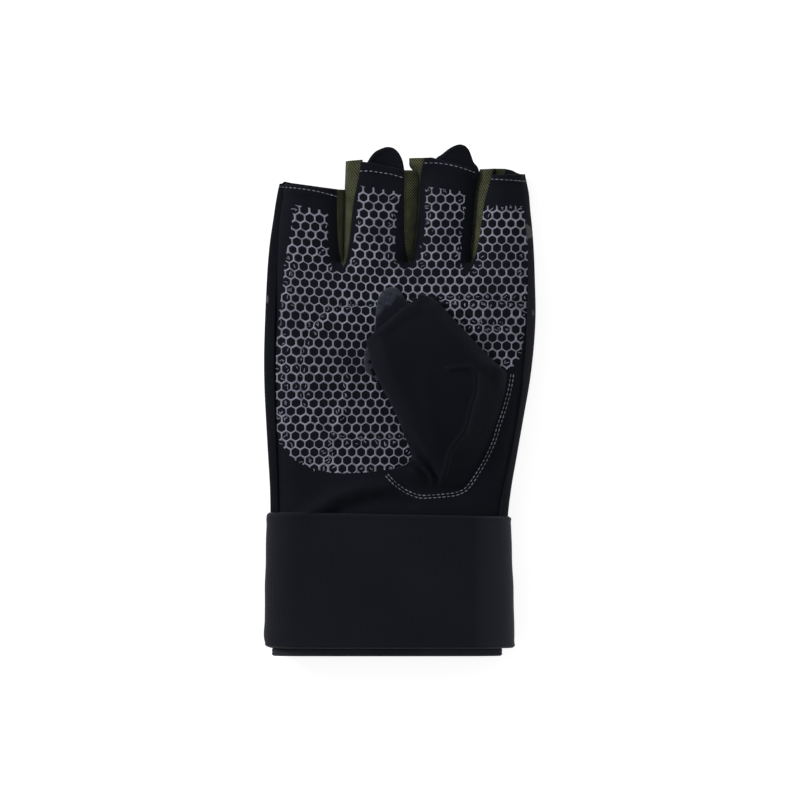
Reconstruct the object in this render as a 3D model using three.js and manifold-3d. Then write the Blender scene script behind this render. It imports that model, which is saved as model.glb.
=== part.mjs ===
// A fingerless weightlifting glove for the right hand, lying on its back with the palm up.
// The thumb sleeve is folded over the palm, and a wide elastic wrap closes the wrist.
// Millimetres. +Z is up, +Y points to the fingers and +X to the thumb side.

import * as THREE from 'three';
import * as BufferGeometryUtils from 'three/addons/utils/BufferGeometryUtils.js';
import Module from 'manifold-3d';

const wasm = await Module();
wasm.setup();

// Hand part
const HAND_WIDTH = 110.8;
const WRIST_WIDTH = 97;
const PALM_LENGTH = 103.6;
const FINGER_LENGTH = 42;
const HAND_HEIGHT = 21.5;
const FINGER_ROOT_HEIGHT = 15;
const FINGER_HEIGHT = 12.5;
const WRIST_HEIGHT = 16;
const CLOTH = 1.6;
const SEAM_RISE = 1.2;
const GUSSET_SHARE = 0.6;

// Grip patch, pull tabs and thumb
const GRIP_THICKNESS = 1;
const TAB_THICKNESS = 1.2;
const TAB_DROP = 2.3;
const TAB_ROOT = 5;
const THUMB_LENGTH = 73.3;
const THUMB_WIDTH = 50;
const THUMB_HEIGHT = 11;
const THUMB_LEAN = 17.4;
const THUMB_SINK = 8;

// Wrist
const WRAP_LENGTH = 55;
const WRAP_THICKNESS = 1.8;
const WRAP_SELVEDGE = 2.2;
const SELVEDGE_SWELL = 0.3;
const CUFF_REVEAL = 3.3;
const CUFF_LAP = 7;
const CUFF_THICKNESS = 1.5;
const CUFF_RIDGE = 1.3;
const CUFF_RIDGE_PLACES = [0.26, 0.66];
const HAND_LAP = 16;
const CLOSURE_WIDTH = 52;
const CLOSURE_LENGTH = 46;
const CLOSURE_THICKNESS = 1.2;
const CLOSURE_CORNER = 8;
const CLOSURE_CORNER_STEPS = 5;

// Fits between sewn neighbours, and how far a cutting form runs past what it cuts. FAR_ALONG is a
// share along the hand well past the fingers.
const GAP = 0.3;
const PAST = 6;
const FAR_ALONG = 3;

// Form of a flattened sleeve: the cloth rounds up over a side within the dome's reach and down to
// the floor within the floor's reach, and the rest of the top is a low crown
const DOME_REACH = 13;
const FLOOR_REACH = 5;
const CROWN_SHARE = 0.2;
const SIDE_SHARE = 0.42;
const DOME_LIMIT = 0.9;
const MITRE_LIMIT = 0.5;
const WELD = 1e-4;

// Faceting: where the points of a rounded corner lie, as shares of its reach, and the steps across
// the crown and along the sleeve
const DOME_POINTS = [0, 0.05, 0.22, 0.55, 1];
const FLOOR_POINTS = [0.1, 0.4, 1];
const HAND_STEPS = { crown: 12, along: 15 };
const FINGER_STEPS = { crown: 3, along: 6 };
const THUMB_STEPS = { crown: 5 };
const WRIST_STEPS = { crown: 6 };

// The wrap's closing end lies under it, so the wrist is carried above the floor by these layers
const WRAP_FLOOR = CLOSURE_THICKNESS + GAP;
const WRIST_FLOOR = WRAP_FLOOR + WRAP_THICKNESS + GAP;
const PALM_SPLIT = WRIST_FLOOR + CLOTH + SEAM_RISE;
const GUSSET_FLOOR = CLOTH + SEAM_RISE;

// Places in plan are shares. across is a share of the hand's width from its middle line. along runs
// from 0 at the wrist line to 1 at the finger crotches and 2 at the longest finger's hem.
const planX = (across) => across * HAND_WIDTH;

function planY(along) {
  if (along <= 0) {
    return along * WRAP_LENGTH;
  }
  if (along <= 1) {
    return along * PALM_LENGTH;
  }
  return PALM_LENGTH + (along - 1) * FINGER_LENGTH;
}

const plan = ([across, along]) => new THREE.Vector2(planX(across), planY(along));

// Hand sections. spread grows from the wrist's width at 0 to the hand's at 1. drift is the middle's
// offset, a share of the hand's width. level is the height's step: 0 wrist, 1 palm, 2 finger roots.
// carried is how far the section is lifted onto the layers under the wrist.
const HAND_SECTIONS = [
  { along: -0.4, spread: 0.0, drift: -0.041, level: 0.0, carried: 1 },
  { along: 0.0, spread: 0.0, drift: -0.04, level: 0.0, carried: 1 },
  { along: 0.1, spread: 0.12, drift: -0.033, level: 0.28, carried: 0.35 },
  { along: 0.21, spread: 0.34, drift: -0.028, level: 0.62, carried: 0 },
  { along: 0.33, spread: 0.56, drift: -0.021, level: 0.86, carried: 0 },
  { along: 0.45, spread: 0.76, drift: -0.0145, level: 0.97, carried: 0 },
  { along: 0.57, spread: 0.92, drift: -0.007, level: 1.0, carried: 0 },
  { along: 0.69, spread: 0.98, drift: 0.0, level: 1.02, carried: 0 },
  { along: 0.77, spread: 1.0, drift: 0.002, level: 1.12, carried: 0 },
  { along: 0.85, spread: 0.96, drift: 0.002, level: 1.35, carried: 0 },
  { along: 0.93, spread: 0.92, drift: 0.003, level: 1.68, carried: 0 },
  { along: 1.0, spread: 0.89, drift: 0.005, level: 2.0, carried: 0 },
];

// Each finger sleeve's edges, as plan shares
const FINGERS = {
  little: [
    { along: 0.82, left: -0.45, right: -0.225 },
    { along: 0.9, left: -0.48, right: -0.213 },
    { along: 1.0, left: -0.488, right: -0.21 },
    { along: 1.2, left: -0.479, right: -0.209 },
    { along: 1.4, left: -0.467, right: -0.21 },
    { along: 1.6, left: -0.456, right: -0.212 },
    { along: 1.8, left: -0.438, right: -0.212 },
  ],
  ring: [
    { along: 0.82, left: -0.185, right: 0.025 },
    { along: 0.9, left: -0.195, right: 0.038 },
    { along: 1.0, left: -0.2, right: 0.046 },
    { along: 1.13, left: -0.202, right: 0.05 },
    { along: 1.3, left: -0.204, right: 0.059 },
    { along: 1.6, left: -0.204, right: 0.068 },
    { along: 1.85, left: -0.202, right: 0.072 },
    { along: 2.05, left: -0.2, right: 0.072 },
  ],
  middle: [
    { along: 0.82, left: 0.07, right: 0.245 },
    { along: 0.9, left: 0.058, right: 0.258 },
    { along: 1.0, left: 0.052, right: 0.264 },
    { along: 1.13, left: 0.056, right: 0.269 },
    { along: 1.3, left: 0.065, right: 0.275 },
    { along: 1.6, left: 0.077, right: 0.283 },
    { along: 1.84, left: 0.08, right: 0.291 },
    { along: 1.96, left: 0.045, right: 0.294 },
    { along: 2.08, left: 0.036, right: 0.294 },
  ],
  index: [
    { along: 0.82, left: 0.285, right: 0.46 },
    { along: 0.9, left: 0.275, right: 0.49 },
    { along: 1.0, left: 0.27, right: 0.498 },
    { along: 1.15, left: 0.275, right: 0.494 },
    { along: 1.3, left: 0.281, right: 0.489 },
    { along: 1.5, left: 0.288, right: 0.482 },
    { along: 1.75, left: 0.298, right: 0.468 },
    { along: 1.95, left: 0.303, right: 0.458 },
  ],
};

// Swells and folds of the palm. wide and long are half sizes, shares of the hand's width, turn is in
// degrees from across the hand, and rise is a share of the hand's height.
const PALM_RELIEF = [
  { across: -0.203, along: 0.955, wide: 0.026, long: 0.075, turn: 0, rise: -0.15 },
  { across: 0.05, along: 0.965, wide: 0.026, long: 0.075, turn: 0, rise: -0.15 },
  { across: 0.268, along: 0.96, wide: 0.026, long: 0.075, turn: 0, rise: -0.15 },
  { across: -0.21, along: 0.55, wide: 0.15, long: 0.19, turn: 0, rise: 0.06 },
  { across: 0.06, along: 0.87, wide: 0.36, long: 0.05, turn: -3, rise: 0.04 },
  { across: -0.24, along: 0.36, wide: 0.03, long: 0.12, turn: -20, rise: 0.04 },
  { across: -0.2, along: 0.08, wide: 0.16, long: 0.026, turn: 17, rise: -0.05 },
  { across: 0.33, along: 0.25, wide: 0.05, long: 0.12, turn: -30, rise: 0.04 },
];

// Seams of the palm panel, from the wrist to the finger ends
const LEFT_SEAM = [
  [-0.449, -0.29],
  [-0.449, 0.01],
  [-0.46, 0.37],
  [-0.464, 0.61],
  [-0.458, 0.85],
  [-0.451, 1.1],
  [-0.444, 1.4],
  [-0.424, 1.747],
];
const RIGHT_SEAM = [
  [0.454, 1.815],
  [0.466, 1.45],
  [0.472, 1.1],
  [0.474, 0.73],
  [0.468, 0.62],
  [0.442, 0.4],
  [0.409, 0.21],
  [0.374, 0.01],
  [0.37, -0.29],
];

// Gaps between the fingers, where the mesh gussets show: left edge, crotch, right edge
const GAPS = {
  little_ring: [
    [-0.229, 1.6],
    [-0.224, 1.1],
    [-0.215, 1.0],
    [-0.205, 0.95],
    [-0.195, 1.0],
    [-0.187, 1.15],
    [-0.179, 1.35],
    [-0.168, 1.6],
    [-0.15, 1.84],
  ],
  ring_middle: [
    [0.017, 1.86],
    [0.017, 1.6],
    [0.026, 1.3],
    [0.037, 1.08],
    [0.049, 0.96],
    [0.066, 1.05],
    [0.077, 1.3],
    [0.088, 1.6],
    [0.094, 1.84],
  ],
  middle_index: [
    [0.276, 1.87],
    [0.27, 1.7],
    [0.262, 1.4],
    [0.256, 1.1],
    [0.267, 0.96],
    [0.28, 1.05],
    [0.29, 1.18],
    [0.305, 1.45],
    [0.327, 1.7],
  ],
};

// Hems: the palm side, the gussets and the back end on lines of their own
const PALM_ENDS = {
  little: [[-0.5, 1.765], [-0.2, 1.683]],
  ring: [[-0.2, 1.98], [-0.11, 1.955], [0.08, 1.845]],
  middle: [[0.01, 2.0], [0.12, 2.005], [0.3, 1.875]],
  index: [[0.28, 1.822], [0.5, 1.81]],
};
const GUSSET_ENDS = {
  little: [[-0.5, 1.73], [-0.2, 1.69]],
  ring: [[-0.215, 2.0], [-0.14, 1.97], [0.0, 1.89], [0.08, 1.85]],
  middle: [[0.025, 1.99], [0.13, 2.01], [0.3, 1.87]],
  index: [[0.28, 1.9], [0.36, 1.85], [0.5, 1.8]],
};
const BACK_ENDS = {
  little: [[-0.5, 1.8], [-0.2, 1.7]],
  ring: [[-0.215, 1.99], [0.08, 1.86]],
  middle: [[0.03, 2.0], [0.3, 1.88]],
  index: [[0.28, 1.88], [0.39, 1.905], [0.44, 1.875], [0.5, 1.77]],
};
const FINGER_DIVIDES = [-0.206, 0.076, 0.297];
const FINGER_NAMES = ['little', 'ring', 'middle', 'index'];

// The grip patch, from its top left corner down and round under the thumb
const PATCH_OUTLINE = [
  [-0.386, 1.575],
  [-0.397, 1.35],
  [-0.41, 1.14],
  [-0.43, 0.92],
  [-0.447, 0.74],
  [-0.456, 0.55],
  [-0.456, 0.4],
  [-0.447, 0.3],
  [-0.42, 0.245],
  [-0.36, 0.195],
  [-0.29, 0.168],
  [-0.2, 0.16],
  [-0.09, 0.17],
  [0.0, 0.185],
  [0.04, 0.2],
  [0.09, 0.32],
  [0.18, 0.45],
  [0.29, 0.55],
  [0.4, 0.58],
  [0.44, 0.6],
  [0.454, 0.66],
  [0.463, 0.8],
  [0.469, 1.0],
  [0.466, 1.3],
  [0.456, 1.53],
  [0.33, 1.53],
  [0.314, 1.35],
  [0.303, 1.18],
  [0.292, 0.99],
  [0.268, 0.93],
  [0.24, 0.945],
  [0.22, 1.0],
  [0.22, 1.3],
  [0.235, 1.665],
  [0.102, 1.71],
  [0.096, 1.45],
  [0.086, 1.2],
  [0.074, 1.0],
  [0.048, 0.925],
  [0.02, 0.975],
  [-0.012, 1.15],
  [-0.015, 1.4],
  [-0.006, 1.68],
  [-0.146, 1.73],
  [-0.157, 1.4],
  [-0.17, 1.15],
  [-0.182, 0.99],
  [-0.205, 0.915],
  [-0.232, 0.96],
  [-0.249, 1.06],
  [-0.258, 1.26],
  [-0.26, 1.48],
];

// Pull tabs, each a rounded tongue from its hem up: plan shares
const TABS = {
  ring: [
    [-0.125, 1.85],
    [-0.122, 1.95],
    [-0.1, 2.02],
    [-0.072, 2.09],
    [-0.04, 2.12],
    [-0.015, 2.095],
    [0.0, 2.03],
    [0.014, 1.9],
    [0.014, 1.82],
  ],
  middle: [
    [0.14, 1.9],
    [0.138, 1.99],
    [0.155, 2.04],
    [0.178, 2.08],
    [0.215, 2.125],
    [0.238, 2.13],
    [0.258, 2.08],
    [0.27, 1.98],
    [0.278, 1.91],
    [0.276, 1.82],
  ],
};

// Thumb frame: across is a share of the thumb's width, along a share of its length, from its root
const THUMB_ROOT = [0.194, 0.095];
const THUMB_SECTIONS = [
  { left: [-0.44, 1.15], right: [0.16, 1.29], rise: 0.75 },
  { left: [-0.38, 1.04], right: [0.24, 1.174], rise: 0.8 },
  { left: [-0.318, 0.935], right: [0.317, 1.064], rise: 0.84 },
  { left: [-0.318, 0.842], right: [0.403, 0.951], rise: 0.94 },
  { left: [-0.299, 0.732], right: [0.473, 0.843], rise: 1.0 },
  { left: [-0.279, 0.628], right: [0.561, 0.736], rise: 1.0 },
  { left: [-0.265, 0.526], right: [0.668, 0.613], rise: 0.98 },
  { left: [-0.252, 0.423], right: [0.741, 0.51], rise: 0.92 },
  { left: [-0.253, 0.329], right: [0.679, 0.412], rise: 0.84 },
  { left: [-0.292, 0.262], right: [0.583, 0.315], rise: 0.72 },
  { left: [-0.361, 0.206], right: [0.451, 0.197], rise: 0.58 },
  { left: [-0.44, 0.145], right: [0.273, 0.071], rise: 0.42 },
  { left: [-0.36, 0.05], right: [0.091, -0.025], rise: 0.3 },
];
const THUMB_RELIEF = [
  { across: 0.36, along: 0.5, wide: 0.09, long: 0.28, turn: -16, rise: 0.12 },
  { across: 0.1, along: 0.22, wide: 0.08, long: 0.2, turn: -35, rise: 0.1 },
  { across: -0.13, along: 0.2, wide: 0.08, long: 0.22, turn: 15, rise: -0.14 },
  { across: 0.0, along: 0.62, wide: 0.16, long: 0.3, turn: 10, rise: -0.08 },
];

// The sleeve's front ends at its opening edge, whose line is closed round the sleeve's root
const THUMB_OPENING = [
  [-0.7, 0.9],
  [-0.36, 0.92],
  [-0.32, 0.935],
  [-0.166, 0.985],
  [-0.017, 1.029],
  [0.13, 1.068],
  [0.22, 1.078],
  [0.317, 1.064],
  [0.36, 1.03],
  [0.7, 0.95],
  [0.9, -0.3],
  [-0.9, -0.3],
];
const THUMB_BACK_OUTLINE = [
  [-0.26, 0.4],
  [-0.3, 0.72],
  [-0.385, 0.775],
  [-0.385, 0.84],
  [-0.315, 0.92],
  [-0.24, 0.985],
  [-0.165, 1.11],
  [-0.11, 1.16],
  [-0.03, 1.187],
  [0.045, 1.17],
  [0.09, 1.1],
  [0.2, 1.065],
  [0.3, 1.05],
  [0.4, 0.95],
  [0.5, 0.8],
  [0.63, 0.65],
  [0.71, 0.56],
  [0.5, 0.55],
  [0.25, 0.49],
  [0.0, 0.43],
];
const THUMB_HOLE = [
  [-0.2, 0.33],
  [0.05, 0.4],
  [0.28, 0.465],
  [0.5, 0.52],
  [0.64, 0.5],
  [0.59, 0.4],
  [0.48, 0.3],
  [0.35, 0.2],
  [0.2, 0.11],
  [0.03, 0.07],
  [-0.17, 0.11],
  [-0.29, 0.18],
];

// Closed mesh and solid
function toSolid(geometry) {
  const plain = geometry.index ? geometry.toNonIndexed() : geometry.clone();
  plain.deleteAttribute('normal');
  plain.deleteAttribute('uv');
  const merged = BufferGeometryUtils.mergeVertices(plain, WELD);
  const vertProperties = new Float32Array(merged.attributes.position.array);
  const triVerts = new Uint32Array(merged.index.array);
  return new wasm.Manifold(new wasm.Mesh({ numProp: 3, vertProperties, triVerts }));
}

function toGeometry(solid) {
  const mesh = solid.getMesh();
  const geometry = new THREE.BufferGeometry();
  geometry.setAttribute('position', new THREE.BufferAttribute(mesh.vertProperties, 3));
  geometry.setIndex(new THREE.BufferAttribute(mesh.triVerts, 1));
  return geometry;
}

// The solid's own body where a cut leaves a crumb beside it
function mainBody(solid) {
  const bodies = solid.decompose();
  bodies.sort((one, other) => other.volume() - one.volume());
  return bodies[0];
}

// A smooth reader of one column of a table of sections
function column(table, key, name) {
  const at = table.map((row) => row[key]);
  const value = table.map((row) => row[name]);
  const curve = new THREE.CubicInterpolant(at, value, 1);
  return (place) => curve.evaluate(THREE.MathUtils.clamp(place, at[0], at.at(-1)))[0];
}

// The places round a flattened sleeve, as distances from its middle: over the top from the right
// side to the left, and back along the floor
function sectionPlaces(half, inset, { crown }) {
  const domeReach = Math.min(DOME_REACH - inset, half * DOME_LIMIT);
  const floorReach = FLOOR_REACH - inset;
  const corner = DOME_POINTS.map((share) => half - share * domeReach);
  const foot = FLOOR_POINTS.map((share) => half - share * floorReach);
  const flat = half - domeReach;
  const middle = [];
  for (let step = 1; step < crown; step += 1) {
    middle.push(flat - (2 * flat * step) / crown);
  }
  const over = [...corner, ...middle, ...corner.map((x) => -x).reverse()];
  const under = [...foot.map((x) => -x), ...foot.slice().reverse()];
  return [
    ...over.map((x) => ({ x, upper: true })),
    ...under.map((x) => ({ x, upper: false })),
  ];
}

// How far a rounded corner has turned, from 0 at its side to 1 past its reach
function cornerTurn(inward, reach) {
  const share = THREE.MathUtils.clamp(inward / reach, 0, 1);
  return Math.sqrt(1 - (1 - share) ** 2);
}

// How far up from its side a domed top has risen, as a share, at a distance from the middle
function domeRise(x, half, inset) {
  const reach = Math.min(DOME_REACH - inset, half * DOME_LIMIT);
  return cornerTurn(half - Math.abs(x), reach) * (1 - CROWN_SHARE * (x / half) ** 2);
}

// A closed solid through flattened sections. A section has its two edge points, its floor and its
// top, and inset draws it in, for the hollow inside a wall. shape moves the height of a point.
function sleeve(sections, steps, inset = 0, shape = (x, y, z) => z) {
  const rings = sections.map(({ left, right, floor, top }) => {
    const middle = left.clone().add(right).multiplyScalar(0.5);
    const across = right.clone().sub(left).normalize();
    const half = left.distanceTo(right) / 2 - inset;
    const side = floor + (top - floor) * SIDE_SHARE;
    return sectionPlaces(half, inset, steps).map(({ x: offset, upper }) => {
      const x = middle.x + across.x * offset;
      const y = middle.y + across.y * offset;
      if (!upper) {
        const sink = cornerTurn(half - Math.abs(offset), FLOOR_REACH - inset);
        return new THREE.Vector3(x, y, side - sink * (side - floor - inset));
      }
      const rise = domeRise(offset, half, inset);
      return new THREE.Vector3(x, y, shape(x, y, side + rise * (top - side - inset), rise));
    });
  });
  return loft(rings);
}

// A closed solid through rings of equal count, with a fan at each end
function loft(rings) {
  const around = rings[0].length;
  const points = rings.flat();
  const faces = [];
  for (let row = 0; row + 1 < rings.length; row += 1) {
    for (let step = 0; step < around; step += 1) {
      const next = (step + 1) % around;
      const a = row * around + step;
      const b = row * around + next;
      const c = (row + 1) * around + next;
      const d = (row + 1) * around + step;
      faces.push([a, b, c], [a, c, d]);
    }
  }
  [rings[0], rings.at(-1)].forEach((ring, end) => {
    const centre = ring.reduce((sum, point) => sum.add(point), new THREE.Vector3());
    points.push(centre.divideScalar(around));
    const start = end === 0 ? 0 : (rings.length - 1) * around;
    for (let step = 0; step < around; step += 1) {
      const next = start + ((step + 1) % around);
      const face = [points.length - 1, next, start + step];
      faces.push(end === 0 ? face : face.reverse());
    }
  });
  const volume = faces.reduce((sum, [a, b, c]) => {
    const cross = new THREE.Vector3().crossVectors(points[b], points[c]);
    return sum + points[a].dot(cross);
  }, 0);
  const outward = volume > 0 ? faces : faces.map(([a, b, c]) => [a, c, b]);
  const geometry = new THREE.BufferGeometry().setFromPoints(points);
  geometry.setIndex(outward.flat());
  return toSolid(geometry);
}

// An upright prism over an outline in plan
function prism(outline, low, high) {
  const shape = new THREE.Shape(outline);
  const geometry = new THREE.ExtrudeGeometry(shape, { depth: high - low, bevelEnabled: false });
  geometry.translate(0, 0, low);
  return toSolid(geometry);
}

// An outline drawn outwards, or inwards where the distance is negative
function grownOutline(outline, distance) {
  const clockwise = THREE.ShapeUtils.isClockWise(outline);
  return outline.map((point, index) => {
    const before = outline[(index + outline.length - 1) % outline.length];
    const after = outline[(index + 1) % outline.length];
    const first = point.clone().sub(before).normalize();
    const second = after.clone().sub(point).normalize();
    const outOfFirst = new THREE.Vector2(first.y, -first.x);
    const outOfSecond = new THREE.Vector2(second.y, -second.x);
    const out = outOfFirst.add(outOfSecond).normalize();
    const reach = distance / Math.max(MITRE_LIMIT, Math.abs(out.x * first.y - out.y * first.x));
    return point.clone().addScaledVector(out, clockwise ? -reach : reach);
  });
}

// Soft swells and folds, each a rounded ridge on an ellipse
function reliefHeight(rows, toPlan, width, height) {
  const forms = rows.map((row) => {
    const centre = toPlan([row.across, row.along]);
    const turn = THREE.MathUtils.degToRad(row.turn);
    return { ...row, centre, cosine: Math.cos(turn), sine: Math.sin(turn) };
  });
  return (x, y) => {
    let total = 0;
    for (const form of forms) {
      const dx = x - form.centre.x;
      const dy = y - form.centre.y;
      const across = (dx * form.cosine + dy * form.sine) / (form.wide * width);
      const along = (dy * form.cosine - dx * form.sine) / (form.long * width);
      total += form.rise * height * Math.exp(-(across ** 2) - along ** 2);
    }
    return total;
  };
}

const palmRelief = reliefHeight(PALM_RELIEF, plan, HAND_WIDTH, HAND_HEIGHT);
const palmShape = (x, y, z, rise) => z + palmRelief(x, y) * Math.max(0, rise) ** 2;

// The hand's section at a share along it
const handSpread = column(HAND_SECTIONS, 'along', 'spread');
const handDrift = column(HAND_SECTIONS, 'along', 'drift');
const handLevel = column(HAND_SECTIONS, 'along', 'level');
const handCarried = column(HAND_SECTIONS, 'along', 'carried');

function handTop(level) {
  if (level <= 1) {
    return THREE.MathUtils.lerp(WRIST_FLOOR + WRIST_HEIGHT, HAND_HEIGHT, level);
  }
  return THREE.MathUtils.lerp(HAND_HEIGHT, FINGER_ROOT_HEIGHT, level - 1);
}

function handSection(along, y) {
  const half = THREE.MathUtils.lerp(WRIST_WIDTH, HAND_WIDTH, handSpread(along)) / 2;
  const middle = planX(handDrift(along));
  const left = new THREE.Vector2(middle - half, y);
  const right = new THREE.Vector2(middle + half, y);
  const floor = WRIST_FLOOR * THREE.MathUtils.clamp(handCarried(along), 0, 1);
  return { left, right, floor, top: handTop(handLevel(along)) };
}

const HAND_START = -HAND_LAP / WRAP_LENGTH;

function handForm(inset) {
  const sections = [];
  for (let step = 0; step <= HAND_STEPS.along; step += 1) {
    const along = HAND_START + (1 - HAND_START) * (step / HAND_STEPS.along);
    const atWrist = step === 0 ? -(inset === 0 ? 0 : PAST) : 0;
    const atFingers = step === HAND_STEPS.along ? -inset : 0;
    sections.push(handSection(along, planY(along) + atWrist + atFingers));
  }
  return sleeve(sections, HAND_STEPS, inset, palmShape);
}

// The height of the hand's domed top over a point
function palmTop(x, y) {
  const along = y < 0 ? y / WRAP_LENGTH : Math.min(1, y / PALM_LENGTH);
  const { left, right, floor, top } = handSection(along, y);
  const half = (right.x - left.x) / 2;
  const offset = THREE.MathUtils.clamp(x - (left.x + right.x) / 2, -half, half);
  const side = floor + (top - floor) * SIDE_SHARE;
  const rise = domeRise(offset, half, 0);
  return palmShape(x, y, side + rise * (top - side), rise);
}

function fingerForm(name, inset, drop = 0) {
  const rows = FINGERS[name];
  const leftEdge = column(rows, 'along', 'left');
  const rightEdge = column(rows, 'along', 'right');
  const first = rows[0].along;
  const last = rows.at(-1).along;
  const sections = [];
  for (let step = 0; step <= FINGER_STEPS.along; step += 1) {
    const along = first + (last - first) * (step / FINGER_STEPS.along);
    const past = step === FINGER_STEPS.along ? PAST + Math.abs(inset) : 0;
    const y = planY(along) + past;
    const share = (along - 1) / (last - 1);
    const top = THREE.MathUtils.lerp(FINGER_ROOT_HEIGHT, FINGER_HEIGHT, share);
    const left = new THREE.Vector2(planX(leftEdge(along)), y);
    const right = new THREE.Vector2(planX(rightEdge(along)), y);
    sections.push({ left, right, floor: 0, top: Math.min(top, FINGER_ROOT_HEIGHT) - drop });
  }
  return sleeve(sections, FINGER_STEPS, inset);
}

// The whole glove body, hand and fingers, drawn in by inset or grown where it is negative
function bodyForm(inset) {
  return FINGER_NAMES.reduce((form, name) => form.add(fingerForm(name, inset)), handForm(inset));
}

const CEILING = HAND_HEIGHT + THUMB_HEIGHT * 2 + PAST;
const BELOW = -PAST;

// The plan outline of all that lies short of the given finger ends
function reachOutline(ends, past = 0) {
  const outline = [];
  FINGER_NAMES.forEach((name, index) => {
    const low = index === 0 ? -1 : FINGER_DIVIDES[index - 1];
    const high = index === FINGER_NAMES.length - 1 ? 1 : FINGER_DIVIDES[index];
    const points = ends[name];
    const edge = column(
      points.map(([across, along]) => ({ across, along })),
      'across',
      'along',
    );
    const inner = points.filter(([across]) => across > low && across < high);
    const places = [low, ...inner.map(([across]) => across), high];
    places.forEach((across) => {
      const point = plan([across, edge(across)]);
      point.y += past;
      outline.push(point);
    });
  });
  const wrist = planY(HAND_START) - PAST * 2;
  outline.push(new THREE.Vector2(planX(1), wrist));
  outline.push(new THREE.Vector2(planX(-1), wrist));
  return outline;
}

const bodySolid = bodyForm(0);
const bodyShell = bodySolid.subtract(bodyForm(CLOTH));

// Plan outlines of the gaps, run on past the finger ends
function gapOutline(rows) {
  const first = rows[0];
  const last = rows.at(-1);
  return [[first[0], FAR_ALONG], ...rows, [last[0], FAR_ALONG]].map(plan);
}

const GUSSET_TURN = CLOTH + SEAM_RISE;
const GUSSET_SPLIT = FINGER_HEIGHT * GUSSET_SHARE;

// Below the palm's edges a gusset takes the whole wall that its two fingers turn to each other
function gapFloorOutline(before, after) {
  const onward = (name, side) => FINGERS[name]
    .filter(({ along }) => along >= 1)
    .map((row) => plan([row[side], row.along]));
  const up = onward(before, 'right').map((point) => point.setX(point.x - GUSSET_TURN));
  const down = onward(after, 'left').map((point) => point.setX(point.x + GUSSET_TURN));
  const high = planY(FAR_ALONG);
  const crotch = planY(1) - GUSSET_TURN;
  return [
    new THREE.Vector2(up[0].x, crotch),
    ...up,
    new THREE.Vector2(up.at(-1).x, high),
    new THREE.Vector2(down.at(-1).x, high),
    ...down.reverse(),
    new THREE.Vector2(down.at(-1).x, crotch),
  ];
}

// The space that a gusset takes out of the glove body, grown where its neighbours are cut back
const gussetSpaces = Object.entries(GAPS).map(([name, rows]) => {
  const [before, after] = name.split('_');
  const shown = gapOutline(rows);
  const below = gapFloorOutline(before, after);
  const space = (grow) => {
    const upper = prism(grownOutline(shown, grow), GUSSET_SPLIT - grow, CEILING);
    const lower = prism(grownOutline(below, grow), GUSSET_FLOOR - grow, GUSSET_SPLIT + grow);
    return upper.add(lower);
  };
  return { name, space: space(0), cut: space(GAP) };
});

// Thumb sleeve, laid on the palm
const thumbLean = THREE.MathUtils.degToRad(THUMB_LEAN);
const thumbRoot = plan(THUMB_ROOT);

function thumbPlan([across, along]) {
  const place = new THREE.Vector2(across * THUMB_WIDTH, along * THUMB_LENGTH);
  return place.rotateAround(new THREE.Vector2(), thumbLean).add(thumbRoot);
}

const thumbRelief = reliefHeight(THUMB_RELIEF, thumbPlan, THUMB_WIDTH, THUMB_HEIGHT);
const THUMB_SEAT = GAP + GRIP_THICKNESS + GAP;

function thumbForm(inset) {
  const last = THUMB_SECTIONS.length - 1;
  const rings = THUMB_SECTIONS.map(({ left, right, rise }, index) => {
    const start = thumbPlan(left);
    const end = thumbPlan(right);
    const middle = start.clone().add(end).multiplyScalar(0.5);
    const across = end.clone().sub(start).normalize();
    const half = start.distanceTo(end) / 2 - inset;
    if (index === last) {
      const onward = thumbPlan(THUMB_SECTIONS[last - 1].left).sub(start);
      middle.add(onward.setLength(inset));
    }
    return sectionPlaces(half, inset, THUMB_STEPS).map(({ x: offset, upper }) => {
      const x = middle.x + across.x * offset;
      const y = middle.y + across.y * offset;
      const dome = domeRise(offset, half, inset);
      const high = rise * THUMB_HEIGHT - inset + thumbRelief(x, y) * dome;
      const sink = THUMB_SINK * cornerTurn(half - Math.abs(offset), FLOOR_REACH);
      return new THREE.Vector3(x, y, palmTop(x, y) + THUMB_SEAT + (upper ? dome * high : -sink));
    });
  });
  return loft(rings);
}

const holePrism = prism(THUMB_HOLE.map(thumbPlan), PALM_SPLIT, CEILING);
const patchOutline = PATCH_OUTLINE.map(plan);

// The palm's outline between its side seams, run on past the finger ends
const palmOutline = [
  ...LEFT_SEAM,
  [LEFT_SEAM.at(-1)[0], FAR_ALONG],
  [RIGHT_SEAM[0][0], FAR_ALONG],
  ...RIGHT_SEAM,
].map(plan);

// Each piece below returns its solid
function palmPanel() {
  const between = prism(palmOutline, PALM_SPLIT, CEILING);
  const reach = prism(reachOutline(PALM_ENDS), BELOW, CEILING);
  let panel = bodyShell.intersect(between).intersect(reach).subtract(holePrism);
  for (const { cut } of gussetSpaces) {
    panel = panel.subtract(cut);
  }
  return mainBody(panel);
}

function gusset(space) {
  const reach = prism(reachOutline(GUSSET_ENDS), BELOW, CEILING);
  return mainBody(bodyShell.intersect(space).intersect(reach));
}

function backPanel() {
  const leftWrist = plan([LEFT_SEAM[0][0], -FAR_ALONG]);
  const rightWrist = plan([RIGHT_SEAM.at(-1)[0], -FAR_ALONG]);
  const beside = grownOutline([leftWrist, ...palmOutline, rightWrist], GAP);
  const reach = prism(reachOutline(BACK_ENDS), BELOW, CEILING);
  let panel = bodyShell.intersect(reach);
  panel = panel.subtract(prism(beside, PALM_SPLIT - GAP, CEILING));
  for (const { cut } of gussetSpaces) {
    panel = panel.subtract(cut);
  }
  return mainBody(panel);
}

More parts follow.
